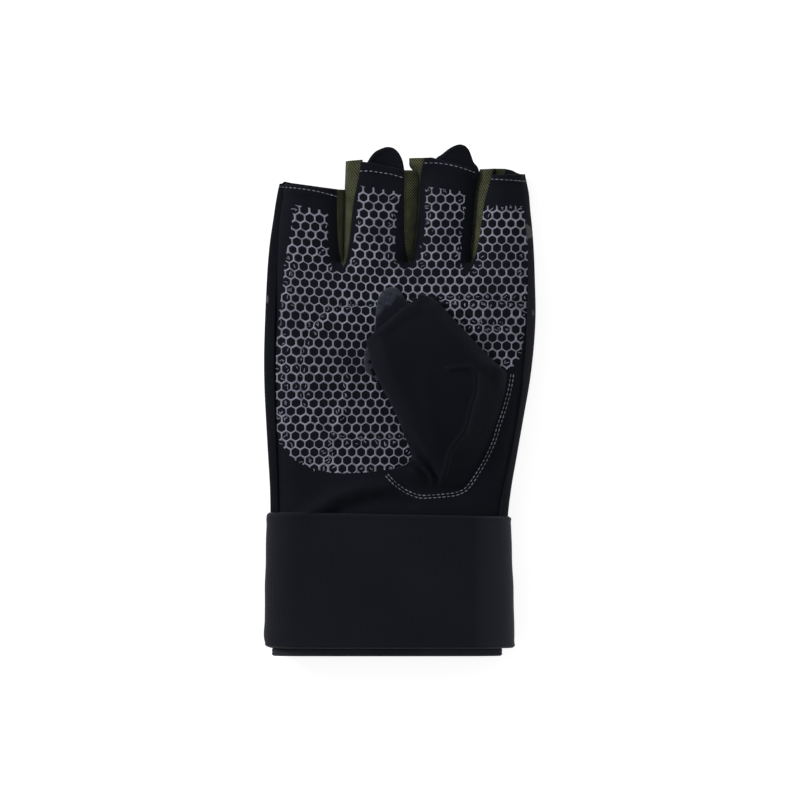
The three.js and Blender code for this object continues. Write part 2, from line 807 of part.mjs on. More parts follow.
function gripPatch() {
  const layer = bodyForm(-GAP - GRIP_THICKNESS).subtract(bodyForm(-GAP));
  return mainBody(layer.intersect(prism(patchOutline, PALM_SPLIT, CEILING)));
}

function pullTab(name) {
  const lower = TAB_DROP + TAB_THICKNESS;
  const layer = fingerForm(name, 0, TAB_DROP).subtract(fingerForm(name, 0, lower));
  const outline = TABS[name].map(plan);
  outline[0].y = outline[1].y - TAB_ROOT;
  outline.at(-1).y = outline.at(-2).y - TAB_ROOT;
  const tongue = layer.intersect(prism(outline, PALM_SPLIT, CEILING));
  const within = tongue.intersect(fingerForm(name, CLOTH + GAP));
  const reach = prism(reachOutline(PALM_ENDS, GAP), BELOW, CEILING);
  return mainBody(within.add(tongue.subtract(reach)));
}

// What the thumb lies on: the palm, with the grip patch where that runs
const thumbBed = bodyForm(-GAP).add(
  bodyForm(-THUMB_SEAT).intersect(prism(grownOutline(patchOutline, GAP), BELOW, CEILING)),
);
const thumbFloor = bodyForm(-THUMB_SEAT - CLOTH);
const thumbBackPrism = prism(THUMB_BACK_OUTLINE.map(thumbPlan), PALM_SPLIT, CEILING);

function thumbBack() {
  const sheet = thumbFloor.subtract(thumbBed);
  return mainBody(sheet.intersect(thumbBackPrism));
}

function thumbFront() {
  const hollow = thumbForm(CLOTH);
  const sleeveWall = thumbForm(0).subtract(hollow).subtract(thumbBed);
  const backGap = prism(grownOutline(THUMB_BACK_OUTLINE.map(thumbPlan), GAP), PALM_SPLIT, CEILING);
  const wall = sleeveWall.subtract(bodyForm(-THUMB_SEAT - CLOTH - GAP).intersect(backGap));
  return mainBody(wall.intersect(prism(THUMB_OPENING.map(thumbPlan), PALM_SPLIT, CEILING)));
}

// A flattened band round the wrist between two lines across it. Each row of ridges is a low rib
// that runs round the band, centred on its line.
function wristBand(inset, thickness, from, to, ridges) {
  const rows = [{ y: from, swell: 0 }];
  for (const { y, half, swell } of ridges) {
    rows.push({ y: y - half, swell: 0 }, { y, swell }, { y: y + half, swell: 0 });
  }
  rows.push({ y: to, swell: 0 });
  const sections = rows.map(({ y, swell }) => {
    const section = handSection(Math.max(planY(HAND_SECTIONS[0].along), y) / WRAP_LENGTH, y);
    const out = swell - inset;
    return {
      left: section.left.clone().setX(section.left.x - out),
      right: section.right.clone().setX(section.right.x + out),
      floor: section.floor - out,
      top: section.top + out,
    };
  });
  const inside = [sections[0], sections.at(-1)].map((section, index) => {
    const past = index === 0 ? -PAST : PAST;
    const left = section.left.clone().setY(section.left.y + past);
    const right = section.right.clone().setY(section.right.y + past);
    return { ...section, left, right };
  });
  return sleeve(sections, WRIST_STEPS).subtract(sleeve(inside, WRIST_STEPS, thickness));
}

function wristWrap() {
  const edge = { half: WRAP_SELVEDGE / 2, swell: SELVEDGE_SWELL };
  const lines = [-WRAP_LENGTH + WRAP_SELVEDGE, -WRAP_SELVEDGE];
  const selvedges = lines.map((y) => ({ ...edge, y }));
  return wristBand(-GAP - WRAP_THICKNESS, WRAP_THICKNESS, -WRAP_LENGTH, 0, selvedges);
}

function wristCuff() {
  const end = -WRAP_LENGTH - CUFF_REVEAL;
  const ridge = { half: CUFF_RIDGE / 2, swell: SELVEDGE_SWELL };
  const ridges = CUFF_RIDGE_PLACES.map((share) => ({ ...ridge, y: end + share * CUFF_REVEAL }));
  return wristBand(CLOTH + GAP, CUFF_THICKNESS, end, -HAND_LAP + CUFF_LAP, ridges);
}

function wrapClosure() {
  const shape = new THREE.Shape();
  const right = CLOSURE_WIDTH / 2;
  const high = CLOSURE_LENGTH / 2;
  const bend = CLOSURE_CORNER;
  shape.moveTo(-right, -high);
  shape.lineTo(right - bend, -high);
  shape.absarc(right - bend, -high + bend, bend, -Math.PI / 2, 0, false);
  shape.absarc(right - bend, high - bend, bend, 0, Math.PI / 2, false);
  shape.lineTo(-right, high);
  const geometry = new THREE.ExtrudeGeometry(shape, {
    depth: CLOSURE_THICKNESS,
    bevelEnabled: false,
    curveSegments: CLOSURE_CORNER_STEPS,
  });
  geometry.translate(0, -WRAP_LENGTH / 2, 0);
  return toSolid(geometry);
}

// Materials
const finish = (color, roughness) => new THREE.MeshStandardMaterial({ color, roughness, metalness: 0 });
const BLACK_CLOTH = 0x14161c;
const PRINTED_CLOTH = 0x3a3d2e;
const OLIVE_MESH = 0x5a5f3c;
const GREY_GRIP = 0x6d6e78;
const GREY_FLEECE = 0x54575f;
const ELASTIC = 0x1c1e24;
const HOOK_TAPE = 0x15161a;

const glove = new THREE.Group();

function addPiece(name, solid, color, roughness) {
  const mesh = new THREE.Mesh(toGeometry(solid), finish(color, roughness));
  mesh.name = name;
  glove.add(mesh);
}

addPiece('palm_panel', palmPanel(), BLACK_CLOTH, 0.8);
addPiece('back_panel', backPanel(), PRINTED_CLOTH, 0.85);
for (const { name, space } of gussetSpaces) {
  addPiece(`gusset_${name}`, gusset(space), OLIVE_MESH, 0.9);
}
addPiece('grip_patch', gripPatch(), GREY_GRIP, 0.55);
for (const name of Object.keys(TABS)) {
  addPiece(`pull_tab_${name}`, pullTab(name), BLACK_CLOTH, 0.8);
}
addPiece('thumb_back', thumbBack(), GREY_FLEECE, 0.95);
addPiece('thumb_front', thumbFront(), BLACK_CLOTH, 0.8);
addPiece('wrist_cuff', wristCuff(), BLACK_CLOTH, 0.8);
addPiece('wrist_wrap', wristWrap(), ELASTIC, 0.85);
addPiece('wrap_closure', wrapClosure(), HOOK_TAPE, 0.9);

// The origin is the middle of the glove's footprint, on the floor
const box = new THREE.Box3().setFromObject(glove);
const centre = box.getCenter(new THREE.Vector3());
glove.position.set(-centre.x, -centre.y, -box.min.z);

export default glove;
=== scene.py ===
import math

import bpy
import numpy as np
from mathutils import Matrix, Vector
from mathutils.geometry import delaunay_2d_cdt


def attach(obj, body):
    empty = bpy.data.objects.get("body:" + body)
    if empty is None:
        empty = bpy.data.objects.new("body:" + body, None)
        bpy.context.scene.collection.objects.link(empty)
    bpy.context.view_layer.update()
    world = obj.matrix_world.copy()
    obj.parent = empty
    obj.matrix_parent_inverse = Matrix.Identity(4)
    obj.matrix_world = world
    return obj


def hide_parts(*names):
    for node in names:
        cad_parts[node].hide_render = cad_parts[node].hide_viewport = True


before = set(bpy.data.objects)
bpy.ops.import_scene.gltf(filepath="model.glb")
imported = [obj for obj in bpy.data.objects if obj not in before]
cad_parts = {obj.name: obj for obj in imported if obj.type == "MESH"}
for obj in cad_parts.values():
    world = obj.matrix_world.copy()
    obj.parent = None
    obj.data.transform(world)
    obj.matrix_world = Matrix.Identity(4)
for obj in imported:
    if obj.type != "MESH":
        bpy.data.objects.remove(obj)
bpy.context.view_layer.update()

# Floor, light and camera. The glove lies on a pale tabletop in an even studio light with a large
# soft lamp up to the left, and it is seen from straight above, through a long lens.
MM = 0.001
FLOOR_SIDE = 8.0
FLOOR_DROP = 0.0003
FLOOR_TONES = (0.5, 0.53)
FLOOR_GLOW = 0.78
SKY_STRENGTH = 0.5
# Each lamp: its name, its place in metres, its size and its power
LAMPS = (
    ("soft_lamp", (-1.6, 1.1, 1.1), 0.6, 36.0),
    ("fill_lamp", (1.7, -0.5, 0.8), 0.9, 3.0),
)
CAMERA_HEIGHT = 3.0
CAMERA_PLACE = (0.0002, 0.0001)
SIGHT_LEVEL = 0.008
SIGHT_WIDTH = 0.328
SENSOR = 36.0


def new_finish(name, colour, roughness, specular=0.1):
    """A new material and its shader, with a plain colour to start from."""
    finish = bpy.data.materials.new(name)
    finish.use_nodes = True
    shader = finish.node_tree.nodes["Principled BSDF"]
    shader.inputs["Base Color"].default_value = (*colour, 1)
    shader.inputs["Roughness"].default_value = roughness
    shader.inputs["Specular IOR Level"].default_value = specular
    return finish, shader


def add_node(finish, kind, **settings):
    """A node in a material's tree. Settings name the node's properties, or its inputs."""
    node = finish.node_tree.nodes.new(kind)
    for key, value in settings.items():
        if key.startswith("in_"):
            place = key[3:]
            place = int(place) if place.isdigit() else place.replace("_", " ")
            if isinstance(value, bpy.types.NodeSocket):
                finish.node_tree.links.new(value, node.inputs[place])
            else:
                node.inputs[place].default_value = value
        else:
            setattr(node, key, value)
    return node


def fuzz(finish, where, scale, **settings):
    """A noise over a place, as a share."""
    return add_node(finish, "ShaderNodeTexNoise", in_Vector=where, in_Scale=scale, **settings).outputs["Fac"]


def ranged(finish, value, low=0.0, high=1.0, to_low=0.0, to_high=1.0):
    """A value's range spread over another, and held at its ends."""
    settings = {"in_1": low, "in_2": high, "in_3": to_low, "in_4": to_high}
    return add_node(finish, "ShaderNodeMapRange", in_Value=value, **settings).outputs[0]


def feed(finish, shader, **sockets):
    """Joins nodes' outputs to the shader's inputs of those names."""
    for name, socket in sockets.items():
        finish.node_tree.links.new(socket, shader.inputs[name.replace("_", " ")])


def mesh_piece(name, points, faces, finish):
    """A smooth mesh in place, from points in millimetres."""
    mesh = bpy.data.meshes.new(name)
    mesh.from_pydata((np.asarray(points) * MM).tolist(), [], [tuple(map(int, f)) for f in faces])
    mesh.validate()
    mesh.shade_smooth()
    mesh.materials.append(finish)
    piece = bpy.data.objects.new(name, mesh)
    bpy.context.scene.collection.objects.link(piece)
    return piece


floor_finish, floor_shader = new_finish("pale_tabletop", (0.9, 0.9, 0.9), 0.9, 0.0)
floor_place = add_node(floor_finish, "ShaderNodeTexCoord").outputs["Object"]
floor_tone = ranged(floor_finish, fuzz(floor_finish, floor_place, 60.0), 0.0, 1.0, *FLOOR_TONES)
feed(floor_finish, floor_shader, Base_Color=floor_tone)
floor_shader.inputs["Emission Color"].default_value = (1, 1, 1, 1)
floor_shader.inputs["Emission Strength"].default_value = FLOOR_GLOW
half_floor, floor_depth = FLOOR_SIDE / MM / 2, -FLOOR_DROP / MM
floor_points = [(x * half_floor, y * half_floor, floor_depth) for x, y in ((-1, -1), (1, -1), (1, 1), (-1, 1))]
floor = mesh_piece("tabletop", floor_points, [(0, 1, 2, 3)], floor_finish)

world = bpy.data.worlds.new("studio")
bpy.context.scene.world = world
world.use_nodes = True
sky = world.node_tree.nodes["Background"]
sky.inputs["Color"].default_value = (1, 1, 1, 1)
sky.inputs["Strength"].default_value = SKY_STRENGTH
for lamp_name, lamp_place, lamp_size, lamp_power in LAMPS:
    lamp_data = bpy.data.lights.new(lamp_name, "AREA")
    lamp_data.energy = lamp_power
    lamp_data.size = lamp_size
    lamp = bpy.data.objects.new(lamp_name, lamp_data)
    lamp.location = lamp_place
    lamp.rotation_mode = "QUATERNION"
    lamp.rotation_quaternion = Vector(lamp_place).to_track_quat("Z", "Y")
    bpy.context.scene.collection.objects.link(lamp)

camera_data = bpy.data.cameras.new("camera")
camera_data.sensor_width = SENSOR
camera_data.lens = SENSOR * (CAMERA_HEIGHT - SIGHT_LEVEL) / SIGHT_WIDTH
camera_data.clip_end = 100
camera = bpy.data.objects.new("camera", camera_data)
camera.location = (*CAMERA_PLACE, CAMERA_HEIGHT)
bpy.context.scene.collection.objects.link(camera)
bpy.context.scene.camera = camera
bpy.context.scene.view_settings.view_transform = "Standard"

# Palm panel. One cut of black stretch cloth from the wrist to the finger hems, lying in a low dome
# over the flattened hand. It is sewn to the back at the sides and to the mesh gussets between the
# fingers, and its padded parts are quilted down. Millimetres; +Y is along the fingers.
TRACE = 0.41
VIEW_MIDDLE = (399.5, 400.25)
WRIST_LINE = -46.4
PALM_LENGTH = 103.6
FINGER_LENGTH = 42.0
HAND_WIDTH = 110.8
WRIST_END = -62.0
SIDE_SHARE = 0.42
OUTER_REACH = 13.0
CROTCH_STRETCH = 1.7
WALLS_PRESSED = -0.03
WALLS_APART = 0.01
DOME_CROWN = 0.2
SOFT_WAVE = 0.12
PALM_CLOTH = 1.3
PALM_GRAIN = 0.95
HEM_FOLD = 0.45
HEM_WIDTH = 3.9
EDGE_ROUND = 0.35
EDGE_ROWS = (0.12, 0.32, 0.65)
THREAD_PITCH = 0.55
THREAD_DEPTH = 0.06


def traced(*places):
    """Plan points from places counted in steps of 0.41 mm across and down the view."""
    return np.array([((x - VIEW_MIDDLE[0]) * TRACE, (VIEW_MIDDLE[1] - y) * TRACE) for x, y in places])


def place(across, along):
    """A plan point from shares: of the hand's width, and along the palm to 1 and the fingers to 2."""
    length = along * PALM_LENGTH if along <= 1 else PALM_LENGTH + (along - 1) * FINGER_LENGTH
    return (across * HAND_WIDTH, length + WRIST_LINE)


def reader(places, values):
    """A smooth curve through a table's values, read at any place."""
    at, value = np.array(places, float), np.array(values, float)
    order = np.argsort(at)
    at, value = at[order], value[order]
    slope = np.gradient(value, at)

    def read(x):
        x = np.clip(x, at[0], at[-1])
        i = np.clip(np.searchsorted(at, x) - 1, 0, len(at) - 2)
        width = at[i + 1] - at[i]
        t = (x - at[i]) / width
        return ((2 * t**3 - 3 * t**2 + 1) * value[i] + (t**3 - 2 * t**2 + t) * width * slope[i]
                + (3 * t**2 - 2 * t**3) * value[i + 1] + (t**3 - t**2) * width * slope[i + 1])

    return read


def side_line(points):
    """A curve through plan points, read across at any place along the fingers."""
    points = np.asarray(points)
    return reader(points[:, 1], points[:, 0])


def smooth_line(points, step):
    """Points at even steps along a smooth curve through the given ones."""
    points = np.asarray(points, float)
    gone = np.concatenate([[0], np.cumsum(np.linalg.norm(np.diff(points, axis=0), axis=1))])
    count = max(2, round(gone[-1] / step) + 1)
    at = np.linspace(0, gone[-1], count)
    return np.stack([reader(gone, points[:, k])(at) for k in range(points.shape[1])], axis=1)


def distance_to(points, line, closed=False):
    """Each plan point's distance to a line of plan points."""
    line = np.asarray(line)
    ends = np.roll(line, -1, axis=0) if closed else line[1:]
    starts = line if closed else line[:-1]
    run = ends - starts
    length2 = np.maximum((run**2).sum(1), 1e-9)
    nearest = np.empty(len(points))
    for first in range(0, len(points), 2000):
        some = points[first:first + 2000, None, :] - starts[None]
        t = np.clip((some * run[None]).sum(2) / length2[None], 0, 1)
        nearest[first:first + 2000] = np.sqrt(((some - t[..., None] * run[None]) ** 2).sum(2).min(1))
    return nearest


def inside(points, outline):
    """Whether each plan point lies within a closed outline."""
    x, y = points[:, :1], points[:, 1:]
    a, b = outline, np.roll(outline, -1, axis=0)
    crosses = (a[None, :, 1] > y) != (b[None, :, 1] > y)
    with np.errstate(divide="ignore", invalid="ignore"):
        at = a[None, :, 0] + (y - a[None, :, 1]) * (b - a)[None, :, 0] / (b - a)[None, :, 1]
    return (crosses & (x < at)).sum(1) % 2 == 1


def cut_sheet(outline, step, rows=EDGE_ROWS):
    """A flat cut of cloth: its plan points and triangles, with close rows of points at its edge."""
    outline = np.asarray(outline)
    area = ((np.roll(outline, -1, 0) - outline)[:, 1] * (np.roll(outline, -1, 0) + outline)[:, 0]).sum()
    run = np.roll(outline, -1, 0) - np.roll(outline, 1, 0)
    inward = np.stack([-run[:, 1], run[:, 0]], 1) * np.sign(area)
    inward /= np.maximum(np.linalg.norm(inward, axis=1, keepdims=True), 1e-9)
    kept = [outline]
    for row in rows:
        ring = outline + inward * row
        good = inside(ring, outline)
        good[good] = distance_to(ring[good], outline, True) > row * 0.93
        kept.append(ring[good])
    low, high = outline.min(0), outline.max(0)
    xs = np.arange(low[0], high[0], step)
    ys = np.arange(low[1], high[1], step * 0.866)
    grid = np.stack(np.meshgrid(xs, ys), axis=-1)
    grid[1::2, :, 0] += step / 2
    grid = grid.reshape(-1, 2)
    grid = grid[inside(grid, outline)]
    past = (rows[-1] if rows else 0) + step * 0.45
    kept.append(grid[distance_to(grid, outline, True) > past])
    points = np.concatenate(kept)
    cut = delaunay_2d_cdt([Vector(p) for p in points], [], [list(range(len(outline)))], 1, 1e-5)
    flat = np.array([tuple(p) for p in cut[0]])
    faces = np.array(cut[2])
    a, b, c = flat[faces[:, 0]], flat[faces[:, 1]], flat[faces[:, 2]]
    turned = (b - a)[:, 0] * (c - a)[:, 1] - (b - a)[:, 1] * (c - a)[:, 0] < 0
    faces[turned] = faces[turned][:, ::-1]
    return flat, faces


def corner(distance, reach):
    """How far a rounded corner has turned, from 0 at its side to 1 past its reach."""
    share = np.clip(distance / reach, 0, 1)
    return np.sqrt(1 - (1 - share) ** 2)


left_side = side_line(traced((281, 178), (279, 185), (276, 200), (273, 220), (270, 240), (268, 260), (266.5, 285),
                             (265, 320), (264, 360), (264.5, 390), (266, 420), (268, 455), (270, 490), (270.5, 515),
                             (270.5, 560)))
right_side = side_line(traced((525.5, 176), (527, 183), (528.5, 190), (530.5, 210), (532.5, 230), (534, 252),
                              (535, 280),
                              (535.5, 320), (534, 345), (530, 380), (524, 415), (517, 455), (511, 490), (508, 515),
                              (508, 560)))
top_level = reader([-68, WRIST_LINE, -36, -24.6, -12.2, 0.2, 12.7, 25.1, 33.4, 41.7, 50, 57.2, 80, 104],
                   [19.6, 19.6, 20.1, 20.8, 21.2, 21.4, 21.5, 21.3, 20.6, 19.2, 17.1, 15.2, 13.6, 12.5])
floor_level = reader([-68, WRIST_LINE, -36, -24.6, -20, 0, 104], [3.6, 3.6, 1.3, 0, 0, 0, 0])
CONTACT_LINES = (
    traced((343.3, 264), (343.35, 260), (343.6, 240), (344, 215), (344.4, 195), (345.2, 175), (345.8, 156)),
    traced((409.8, 262), (410.9, 258), (413.6, 248), (415.6, 232), (418.2, 204), (419.4, 178), (419.7, 156)),
    traced((471.3, 262), (471.45, 258), (471.9, 250), (473.8, 230), (475, 210), (477.8, 185), (479.8, 170),
           (480.5, 156)),
)
MIDDLE_LEFT = traced((409.8, 262), (410.9, 258), (413.6, 248), (415.6, 232), (417.4, 210), (418.2, 195),
                     (418.4, 184), (417.2, 176),
                     (413, 170.5), (409.8, 166.5), (409.2, 161), (409.1, 156))


def contact(line, side):
    """A finger's wall along the line where it meets its neighbour: pressed on it, but free at the crotch."""
    past = np.where(line[:, 1] > line[0, 1] + 1, WALLS_PRESSED, WALLS_APART)
    return side_line(line + np.column_stack([side * past, 0 * past]))


left_lines = (CONTACT_LINES[0], MIDDLE_LEFT, CONTACT_LINES[2])
finger_right = {name: contact(line, -1) for name, line in zip(("little", "ring", "middle"), CONTACT_LINES)}
finger_left = {name: contact(line, 1) for name, line in zip(("ring", "middle", "index"), left_lines)}
# Each row: two fingers side by side, and how far back from their gap the palm's top is rounded
PAIRS = (("little", "ring", 12.5), ("ring", "middle", 11.0), ("middle", "index", 10.5))
CROTCH = place(0, 1)[1]


def side_level(y):
    """The height of the glove's widest line."""
    return floor_level(y) + SIDE_SHARE * (top_level(y) - floor_level(y))


def dome(x, y):
    """How far the top has risen from its sides, as a share."""
    rise = corner(x - left_side(y), OUTER_REACH) * corner(right_side(y) - x, OUTER_REACH)
    for before, after, reach in PAIRS:
        level = np.maximum(y, CROTCH)
        off_before = finger_right[before](level) - x
        off_after = x - finger_left[after](level)
        across = np.maximum(np.maximum(off_before, off_after), 0)
        down = np.maximum(CROTCH - y, 0) * CROTCH_STRETCH
        rise = rise * corner(np.hypot(across, down), reach)
    half = (right_side(y) - left_side(y)) / 2
    crown = DOME_CROWN * (np.clip((x - (right_side(y) + left_side(y)) / 2) / half, -1, 1)) ** 2
    return rise * (1 - crown * np.clip((60 - y) / 25, 0, 1))


# Quilting and folds of the palm: each row is a line, its width and its rise
QUILTING = [
    (traced((437, 299), (460, 299), (490, 300), (526, 303)), 0.9, -0.55),
    (traced((455, 322), (475, 324), (502, 326)), 0.9, -0.5),
    (traced((376, 305), (355, 307), (334, 310), (318, 320), (309, 332), (304, 346), (302, 362), (301, 382),
            (304, 400),
            (312, 415), (324, 428), (345, 437), (375, 438), (408, 437)), 0.9, -0.5),
    (traced((352, 383), (344, 402), (338, 425), (330, 445), (321, 466)), 2.0, 0.7),
    (traced((304, 518), (318, 508), (338, 496), (360, 489), (388, 485)), 3.3, 2.0),
    (traced((320, 522), (345, 509), (380, 500), (410, 503)), 2.8, -0.8),
    (traced((470, 500), (490, 480), (505, 455), (516, 425)), 4.0, 0.5),
]


def body_top(x, y):
    """The height of the glove's body over plan points, its quilting and folds included."""
    rise = dome(x, y)
    side = side_level(y)
    high = side + rise * (top_level(y) - side)
    points = np.stack([x, y], axis=-1).reshape(-1, 2)
    relief = np.zeros(len(points))
    for line, width, swell in QUILTING:
        relief += swell * np.exp(-(distance_to(points, line) / width) ** 2)
    relief += SOFT_WAVE * np.sin(x / 7.0 + 1.3 * np.sin(y / 11.0)).ravel() * np.sin(y / 9.0 + 0.4).ravel()
    return high + relief.reshape(np.shape(high)) * rise**2


left_seam = side_line([place(x, y) for x, y in ((-0.449, -0.29), (-0.449, 0.01), (-0.46, 0.37), (-0.464, 0.61),
                                                (-0.458, 0.85), (-0.451, 1.1), (-0.444, 1.4), (-0.424, 1.747),
                                                (-0.42, 1.85))])
right_seam = side_line([place(x, y) for x, y in ((0.37, -0.29), (0.374, 0.01), (0.409, 0.21), (0.442, 0.4),
                                                 (0.468, 0.62),
                                                 (0.474, 0.73), (0.472, 1.1), (0.466, 1.45), (0.454, 1.815),
                                                 (0.452, 1.9))])
GAP_EDGES = (
    (traced((337, 192), (337, 215), (338, 240), (340, 256), (343.4, 267)),
     traced((343.4, 267), (346.5, 259), (349, 245), (351, 225), (354, 200), (359, 175), (361, 160))),
    (traced((404, 172), (404, 190), (404, 215), (404.5, 238), (406, 251), (410, 263)),
     traced((410, 263), (413.2, 255), (415, 247), (417, 231), (419.4, 204), (420.4, 180), (421.4, 171), (423, 164),
            (424, 158))),
    (traced((479, 170), (477, 185), (474.2, 210), (472.9, 230), (471, 250), (472, 263)),
     traced((472, 263), (475.5, 254), (478.5, 243), (481.2, 225), (483.8, 205), (488, 189), (491.5, 171))),
)
PALM_HEMS = {
    "little": [place(-0.424, 1.747), place(-0.2, 1.683)],
    "ring": [place(-0.16, 1.973), place(-0.11, 1.955), place(0.04, 1.872)],
    "middle": [place(0.06, 2.0), place(0.12, 2.005), place(0.3, 1.875)],
    "index": [place(0.32, 1.834), place(0.46, 1.843)],
}


def hem_ends(hem, left_x, right_x):
    """A hem's line cut to run from one x to another."""
    hem = np.asarray(hem)
    at = np.linspace(left_x, right_x, max(2, round(abs(right_x - left_x) / 0.6)))
    return np.stack([at, np.interp(at, hem[:, 0], hem[:, 1])], axis=1)


def palm_outline(step=0.6):
    """The palm's cut: up the left seam, along the hems and round the gaps, and down the right seam."""
    rows = np.arange(WRIST_END, place(0, 1.74)[1], step)
    parts = [np.stack([left_seam(rows), rows], 1)]
    lefts = [PALM_HEMS["little"][0][0]] + [edge[1][-1][0] for edge in GAP_EDGES]
    rights = [edge[0][0][0] for edge in GAP_EDGES] + [PALM_HEMS["index"][-1][0]]
    for index, name in enumerate(PALM_HEMS):
        parts.append(hem_ends(PALM_HEMS[name], lefts[index], rights[index]))
        if index < len(GAP_EDGES):
            before, after = GAP_EDGES[index]
            hem_before = parts[-1][-1][1]
            start = np.array([[before[0][0], hem_before - 0.5], *before[before[:, 1] < hem_before - 3]])
            next_hem = np.asarray(PALM_HEMS[list(PALM_HEMS)[index + 1]])
            hem_after = np.interp(after[-1][0], next_hem[:, 0], next_hem[:, 1])
            finish = np.array([*after[after[:, 1] < hem_after - 3], [after[-1][0], hem_after - 0.5]])
            parts.append(smooth_line(np.concatenate([start, finish[1:]]), step))
    rows = np.arange(place(0, 1.8)[1], WRIST_END, -step)
    parts.append(np.stack([right_seam(rows), rows], 1))
    across = np.arange(right_seam(WRIST_END) - step, left_seam(WRIST_END) + step / 2, -1.5)
    parts.append(np.stack([across, np.full_like(across, WRIST_END)], 1))
    return np.concatenate(parts)


def finish_piece(piece, slot, *nodes):
    """The piece lies still on the glove's one body and stands for its solids."""
    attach(piece, "root")
    if nodes:
        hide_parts(*nodes)


def thicken(piece, thickness):
    """Gives a sheet its thickness, downwards or inwards."""
    solid = piece.modifiers.new("cloth", "SOLIDIFY")
    solid.thickness = thickness * MM
    solid.offset = -1.0
    solid.use_even_offset = False


def reckon(finish, operation, *values):
    """A sum of values or of other nodes' outputs."""
    settings = {f"in_{place}": value for place, value in enumerate(values)}
    return add_node(finish, "ShaderNodeMath", operation=operation, **settings).outputs[0]


def mixed(finish, share, *colours):
    """A colour between two, each a plain one or another node's."""
    first, second = ((*colour, 1) if isinstance(colour, tuple) else colour for colour in colours)
    return add_node(finish, "ShaderNodeMix", data_type="RGBA", in_0=share, in_6=first, in_7=second).outputs[2]


def roughen(finish, shader, height, depth, strength):
    """Fine relief, its depth in millimetres."""
    bump = add_node(finish, "ShaderNodeBump", in_Height=height, in_Distance=depth * MM, in_Strength=strength)
    feed(finish, shader, Normal=bump.outputs["Normal"])


def weave(finish, shader, source, contrast, colour):
    """Threads that cross: their relief, and a little light and dark. Returns the cloth's colour."""
    per_metre = 2 * math.pi / (THREAD_PITCH * MM)
    scaled = add_node(finish, "ShaderNodeVectorMath", operation="SCALE", in_0=source, in_Scale=per_metre)
    split = add_node(finish, "ShaderNodeSeparateXYZ", in_0=scaled.outputs[0])
    crossing = reckon(finish, "MULTIPLY", *(reckon(finish, "SINE", split.outputs[k]) for k in range(2)))
    hairs = fuzz(finish, source, 900.0, in_Detail=3.0)
    patchy = fuzz(finish, source, 55.0, in_Detail=4.0)
    roughen(finish, shader, reckon(finish, "MULTIPLY_ADD", crossing, 0.5, hairs), THREAD_DEPTH, 0.7)
    tone = ranged(finish, reckon(finish, "MULTIPLY_ADD", crossing, 0.35, patchy), 0.15, 0.85)
    dark, light = (tuple(c * (1 + swing) for c in colour) for swing in (-contrast, contrast))
    cloth = mixed(finish, tone, dark, light)
    rough = shader.inputs["Roughness"].default_value
    feed(finish, shader, Base_Color=cloth, Roughness=ranged(finish, hairs, 0.0, 1.0, rough - 0.08, rough + 0.08))
    return cloth


def stretch_cloth(name, colour):
    """Smooth black knit with a faint bluish sheen."""
    finish, shader = new_finish(name, colour, 0.78, 0.08)
    shader.inputs["Sheen Weight"].default_value = 0.03
    shader.inputs["Sheen Roughness"].default_value = 0.5
    shader.inputs["Sheen Tint"].default_value = (0.75, 0.8, 1.0, 1)
    weave(finish, shader, add_node(finish, "ShaderNodeTexCoord").outputs["Object"], 0.3, colour)
    return finish


palm_finish = stretch_cloth("black_palm_cloth", (0.0031, 0.0040, 0.0070))
palm_edge = palm_outline()
palm_flat, palm_faces = cut_sheet(palm_edge, PALM_GRAIN)
edge_off = distance_to(palm_flat, palm_edge, True)
hem_lines = [hem_ends(hem, hem[0][0], hem[-1][0]) for hem in PALM_HEMS.values()]
hem_off = np.min([distance_to(palm_flat, line) for line in hem_lines], axis=0)
palm_high = body_top(palm_flat[:, 0], palm_flat[:, 1])
palm_high += HEM_FOLD * np.clip((HEM_WIDTH - hem_off) / 0.5, 0, 1)
palm_high -= EDGE_ROUND * (1 - corner(edge_off, EDGE_ROUND * 1.3))
palm = mesh_piece("palm_panel_cloth", np.column_stack([palm_flat, palm_high]), palm_faces, palm_finish)
thicken(palm, PALM_CLOTH)
finish_piece(palm, "black_cloth", "palm_panel")

# Back panel. One cut of printed stretch cloth under the hand, brought up round both sides to the
# palm's seams and out to the finger ends. It is sewn to the palm panel and to the mesh gussets.
BACK_CLOTH = 1.3
BACK_GRAIN = 1.15
LOWER_REACH = 5.0
SIDE_ROLL = 11.5
TOP_ROLL = 12.5
# How far each finger's back reaches: places across the hand and along the fingers, as shares
BACK_ENDS = {
    "little": ((-0.56, 1.75), (-0.462, 1.758), (-0.445, 1.78), (-0.2, 1.692)),
    "ring": ((-0.215, 1.985), (0.08, 1.858)),
    "middle": ((0.03, 2.0), (0.3, 1.88)),
    "index": ((0.28, 1.893), (0.34, 1.905), (0.37, 1.903), (0.39, 1.885), (0.403, 1.866), (0.419, 1.852),
              (0.5, 1.842)),
}
FINGER_TOP = 90.0
GUSSET_TURN = 2.8
# The print's blotches: noise scale, detail, distortion, where they begin and end, and colour. They
# show low on the sides and at the finger tips.
BLOTCHES = (
    (62.0, 2.5, 0.6, (0.56, 0.575), (0.038, 0.044, 0.022)),
    (88.0, 3.0, 0.9, (0.6, 0.615), (0.07, 0.07, 0.075)),
)
BLOTCH_SEED = 3.7
# Spots of the print that show from above at the sides: place, size and colour
PRINT_SPOTS = (
    ((52.6, 69.0, 10.8), 3.3, (0.078, 0.072, 0.074)),
    ((-54.3, 41.5, 11.0), 1.6, (0.06, 0.06, 0.063)),
    ((-55.2, 1.4, 9.0), 1.2, (0.06, 0.06, 0.063)),
    ((54.3, 36.0, 13.0), 1.3, (0.05, 0.05, 0.053)),
)


